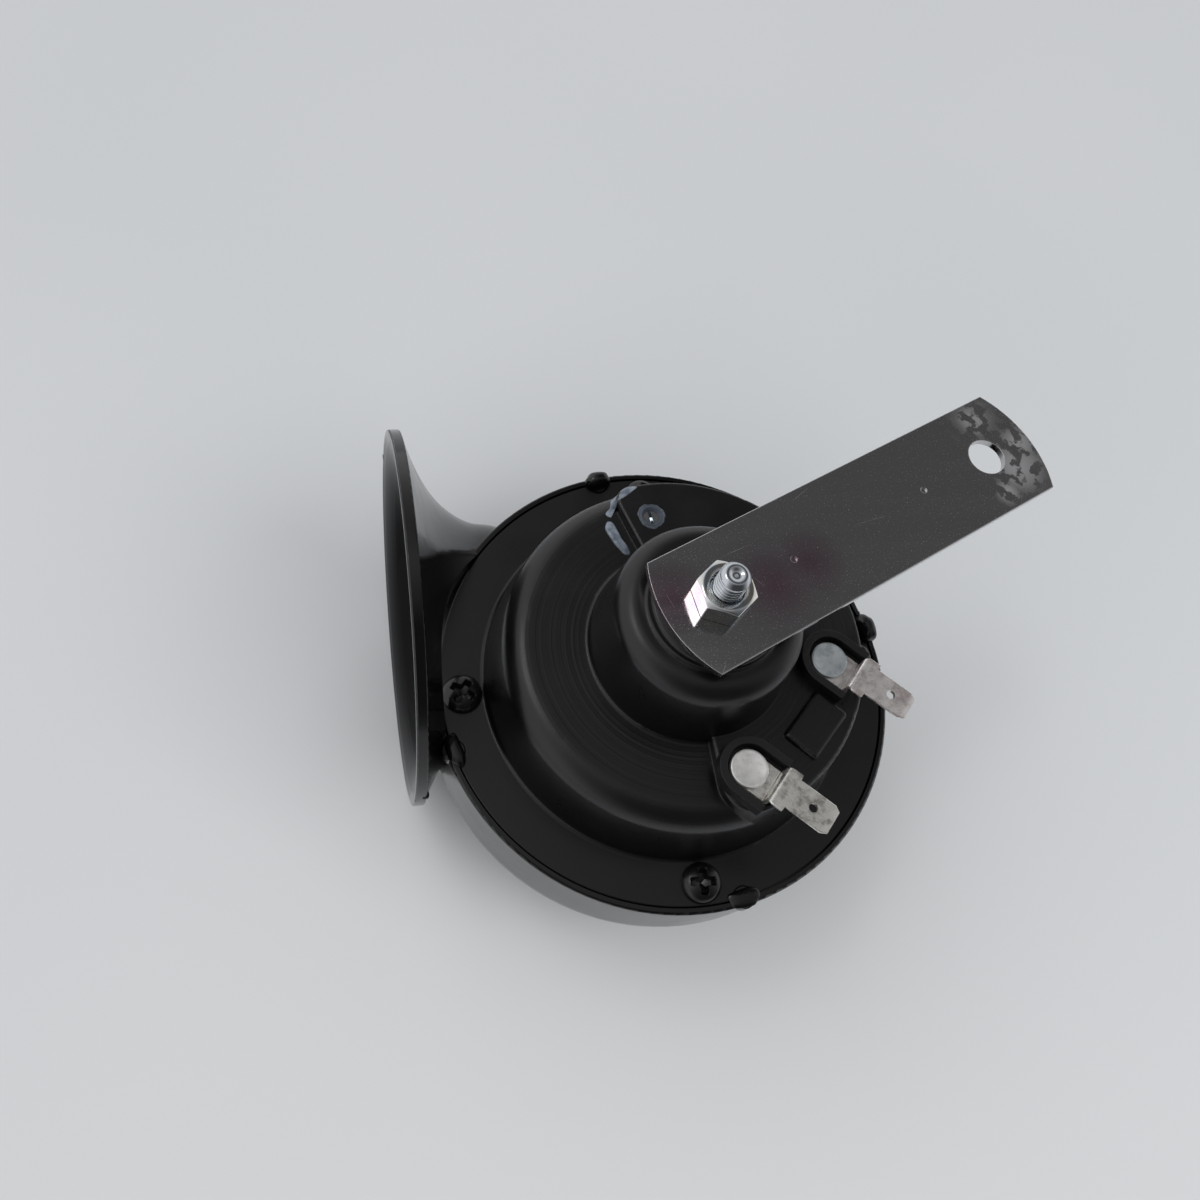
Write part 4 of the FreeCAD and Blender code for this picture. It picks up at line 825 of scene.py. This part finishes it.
SMEARS = (
    # outline in mm from the stud's axis, and thickness in mm
    (((-12.65, 27.0), (-12.1, 25.2), (-11.2, 23.2), (-9.6, 20.9), (-8.5, 20.7), (-8.4, 22.0),
      (-9.5, 24.4), (-10.2, 26.6), (-10.9, 28.4), (-12.0, 28.6)), 0.34),
    (((-12.0, 30.5), (-10.8, 32.0), (-9.9, 34.4), (-8.6, 36.0), (-8.0, 35.1), (-6.6, 35.5), (-4.9, 35.2),
      (-5.9, 34.3), (-7.5, 33.2), (-9.2, 32.2), (-10.2, 30.9), (-11.0, 29.6)), 0.26),
)
dress(nodes["adjusting_screw"], zinc_plate)


def lacquer_section(angle):
    """The sunk middle, the raised ring, ragged on its outside, and the plug's underside."""
    turn = math.radians(angle)
    ragged = 0.16 * math.sin(3 * turn + 0.6) + 0.1 * math.sin(7 * turn) + 0.07 * math.sin(13 * turn + 2)
    ridge = 0.5 + 0.5 * math.cos(turn - math.radians(50))
    rows = [(radius, height * (1 + 0.35 * ragged)) for radius, height in LACQUER_ROWS]
    rows.append((2.68 + 0.6 * ragged + 0.12 * ridge, 0.06 + 0.2 * ridge))
    rows.append((2.85 + 0.7 * ragged + 0.2 * ridge, -0.04))
    return rows + list(LACQUER_PLUG)


lacquer_mesh = bmesh.new()
lathe(lacquer_mesh, lacquer_section, LACQUER_HOLE, full_turn(LACQUER_STEPS))
bmesh.ops.remove_doubles(lacquer_mesh, verts=lacquer_mesh.verts, dist=MERGE_DISTANCE)
lacquer = new_piece("lacquer_seal", lacquer_mesh, 60.0)
hand_over(lacquer, "lacquer", "locking_lacquer")
sealing_lacquer = Finish("sealing_lacquer", (0.30, 0.34, 0.40), 0.3)
from_hole = sealing_lacquer.distance_to(LACQUER_HOLE * MM)
# Painted highlights: the lacquer's colour goes pale in two thin rings on its raised ring, 2.0 and 2.6 mm from
# the hole. It is darker between them, in the sunk middle and further out.
rings_with_painted_highlights = sealing_lacquer.steps(from_hole, [
    (0.0008, (0.012, 0.014, 0.024)), (0.0017, (0.05, 0.062, 0.09)), (0.0020, (0.40, 0.43, 0.47)),
    (0.0023, (0.09, 0.11, 0.15)), (0.0026, (0.36, 0.39, 0.44)), (0.0030, (0.10, 0.12, 0.15))])
sealing_lacquer.feed("Base Color", rings_with_painted_highlights)
sealing_lacquer.feed("Roughness", sealing_lacquer.steps(from_hole, [(0.0014, 0.75), (0.0020, 0.25)]))
sealing_lacquer.bump(sealing_lacquer.noise(900.0, 4.0), 0.5, 0.0005)
dress(lacquer, sealing_lacquer)


def paint_height(x, y):
    """Height of the housing's paint at a place in mm."""
    start = Vector((x * MM, y * MM, RAY_HEIGHT))
    place = nodes["rear_housing"].ray_cast(start, Vector((0, 0, -1)))[1]
    return place.z / MM


def smooth_outline(corners, steps=5):
    """A closed curve through the corners."""
    points = [Vector(corner) for corner in corners]
    count = len(points)
    curve = []
    for index in range(count):
        before, start, end, after = (points[(index + offset) % count] for offset in (-1, 0, 1, 2))
        for step in range(steps):
            share = step / steps
            curve.append(0.5 * (
                2 * start + (end - before) * share
                + (2 * before - 5 * start + 4 * end - after) * share ** 2
                + (3 * start - before - 3 * end + after) * share ** 3))
    return curve


smear_lacquer = Finish("smeared_lacquer", (0.20, 0.235, 0.285), 0.24)
smear_lacquer.feed("Base Color", smear_lacquer.steps(
    smear_lacquer.noise(500.0, 4.0), [(0.35, (0.12, 0.145, 0.185)), (0.6, (0.27, 0.31, 0.36))]))
smear_lacquer.bump(smear_lacquer.noise(700.0, 3.0), 0.4, 0.0004)
for number, (corners, thickness) in enumerate(SMEARS, start=1):
    curve = smooth_outline(corners)
    middle = sum(curve, Vector((0, 0))) / len(curve)
    smear_mesh = bmesh.new()
    shells = []
    for share, fullness, lift in SMEAR_LAYERS:
        ring = []
        for point in curve:
            spot = middle + (point - middle) * share + STUD_AXIS.xy
            height = paint_height(*spot) + fullness * thickness + lift
            ring.append(smear_mesh.verts.new(MM * Vector((*spot, height))))
        shells.append(ring)
    for lower, upper in zip(shells, shells[1:]):
        for index in range(len(curve)):
            after = (index + 1) % len(curve)
            smear_mesh.faces.new((lower[index], lower[after], upper[after], upper[index]))
    smear_mesh.faces.new(shells[-1])
    smear_mesh.faces.new(list(reversed(shells[0])))
    smear = new_piece("lacquer_smear_%d" % number, smear_mesh, 60.0)
    hand_over(smear, "lacquer")
    dress(smear, smear_lacquer)


# Inside
# Magnet, armature, diaphragm, breaker and gaskets, of steel, copper, bronze, plastic and paper.
# They are stacked, riveted or clamped in the closed horn, where nobody sees them.
plain_steel = Finish("plain_steel", (0.45, 0.45, 0.45), 0.35, 1.0)
plain_steel.bump(plain_steel.noise(400.0), 0.08, 0.0003)
copper_wire = Finish("copper_wire", (0.55, 0.2, 0.08), 0.3, 1.0)
copper_wire.bump(copper_wire.noise(30.0, stretch=(1, 1, 60)), 0.3, 0.0005)
bobbin_plastic = Finish("bobbin_plastic", (0.6, 0.57, 0.5), 0.5)
bobbin_plastic.bump(bobbin_plastic.noise(500.0), 0.05, 0.0002)
spring_bronze = Finish("spring_bronze", (0.6, 0.38, 0.2), 0.3, 1.0)
spring_bronze.bump(spring_bronze.noise(500.0), 0.05, 0.0002)
gasket_paper = Finish("gasket_paper", (0.2, 0.17, 0.13), 0.8)
gasket_paper.bump(gasket_paper.noise(900.0), 0.2, 0.0002)
INNER = {
    plain_steel: (
        "diaphragm", "diaphragm_washer_upper", "diaphragm_washer_lower", "armature", "pole_plate",
        "moving_contact", "fixed_contact", "stack_rivet"),
    copper_wire: ("coil_winding",),
    bobbin_plastic: ("coil_bobbin",),
    spring_bronze: ("moving_arm", "fixed_arm"),
    gasket_paper: ("gasket_upper", "gasket_lower"),
    moulded_insulator: ("stack_insulator_lower", "stack_insulator_middle", "stack_insulator_upper"),
}
for finish, names in INNER.items():
    for name in names:
        dress(nodes[name], finish)
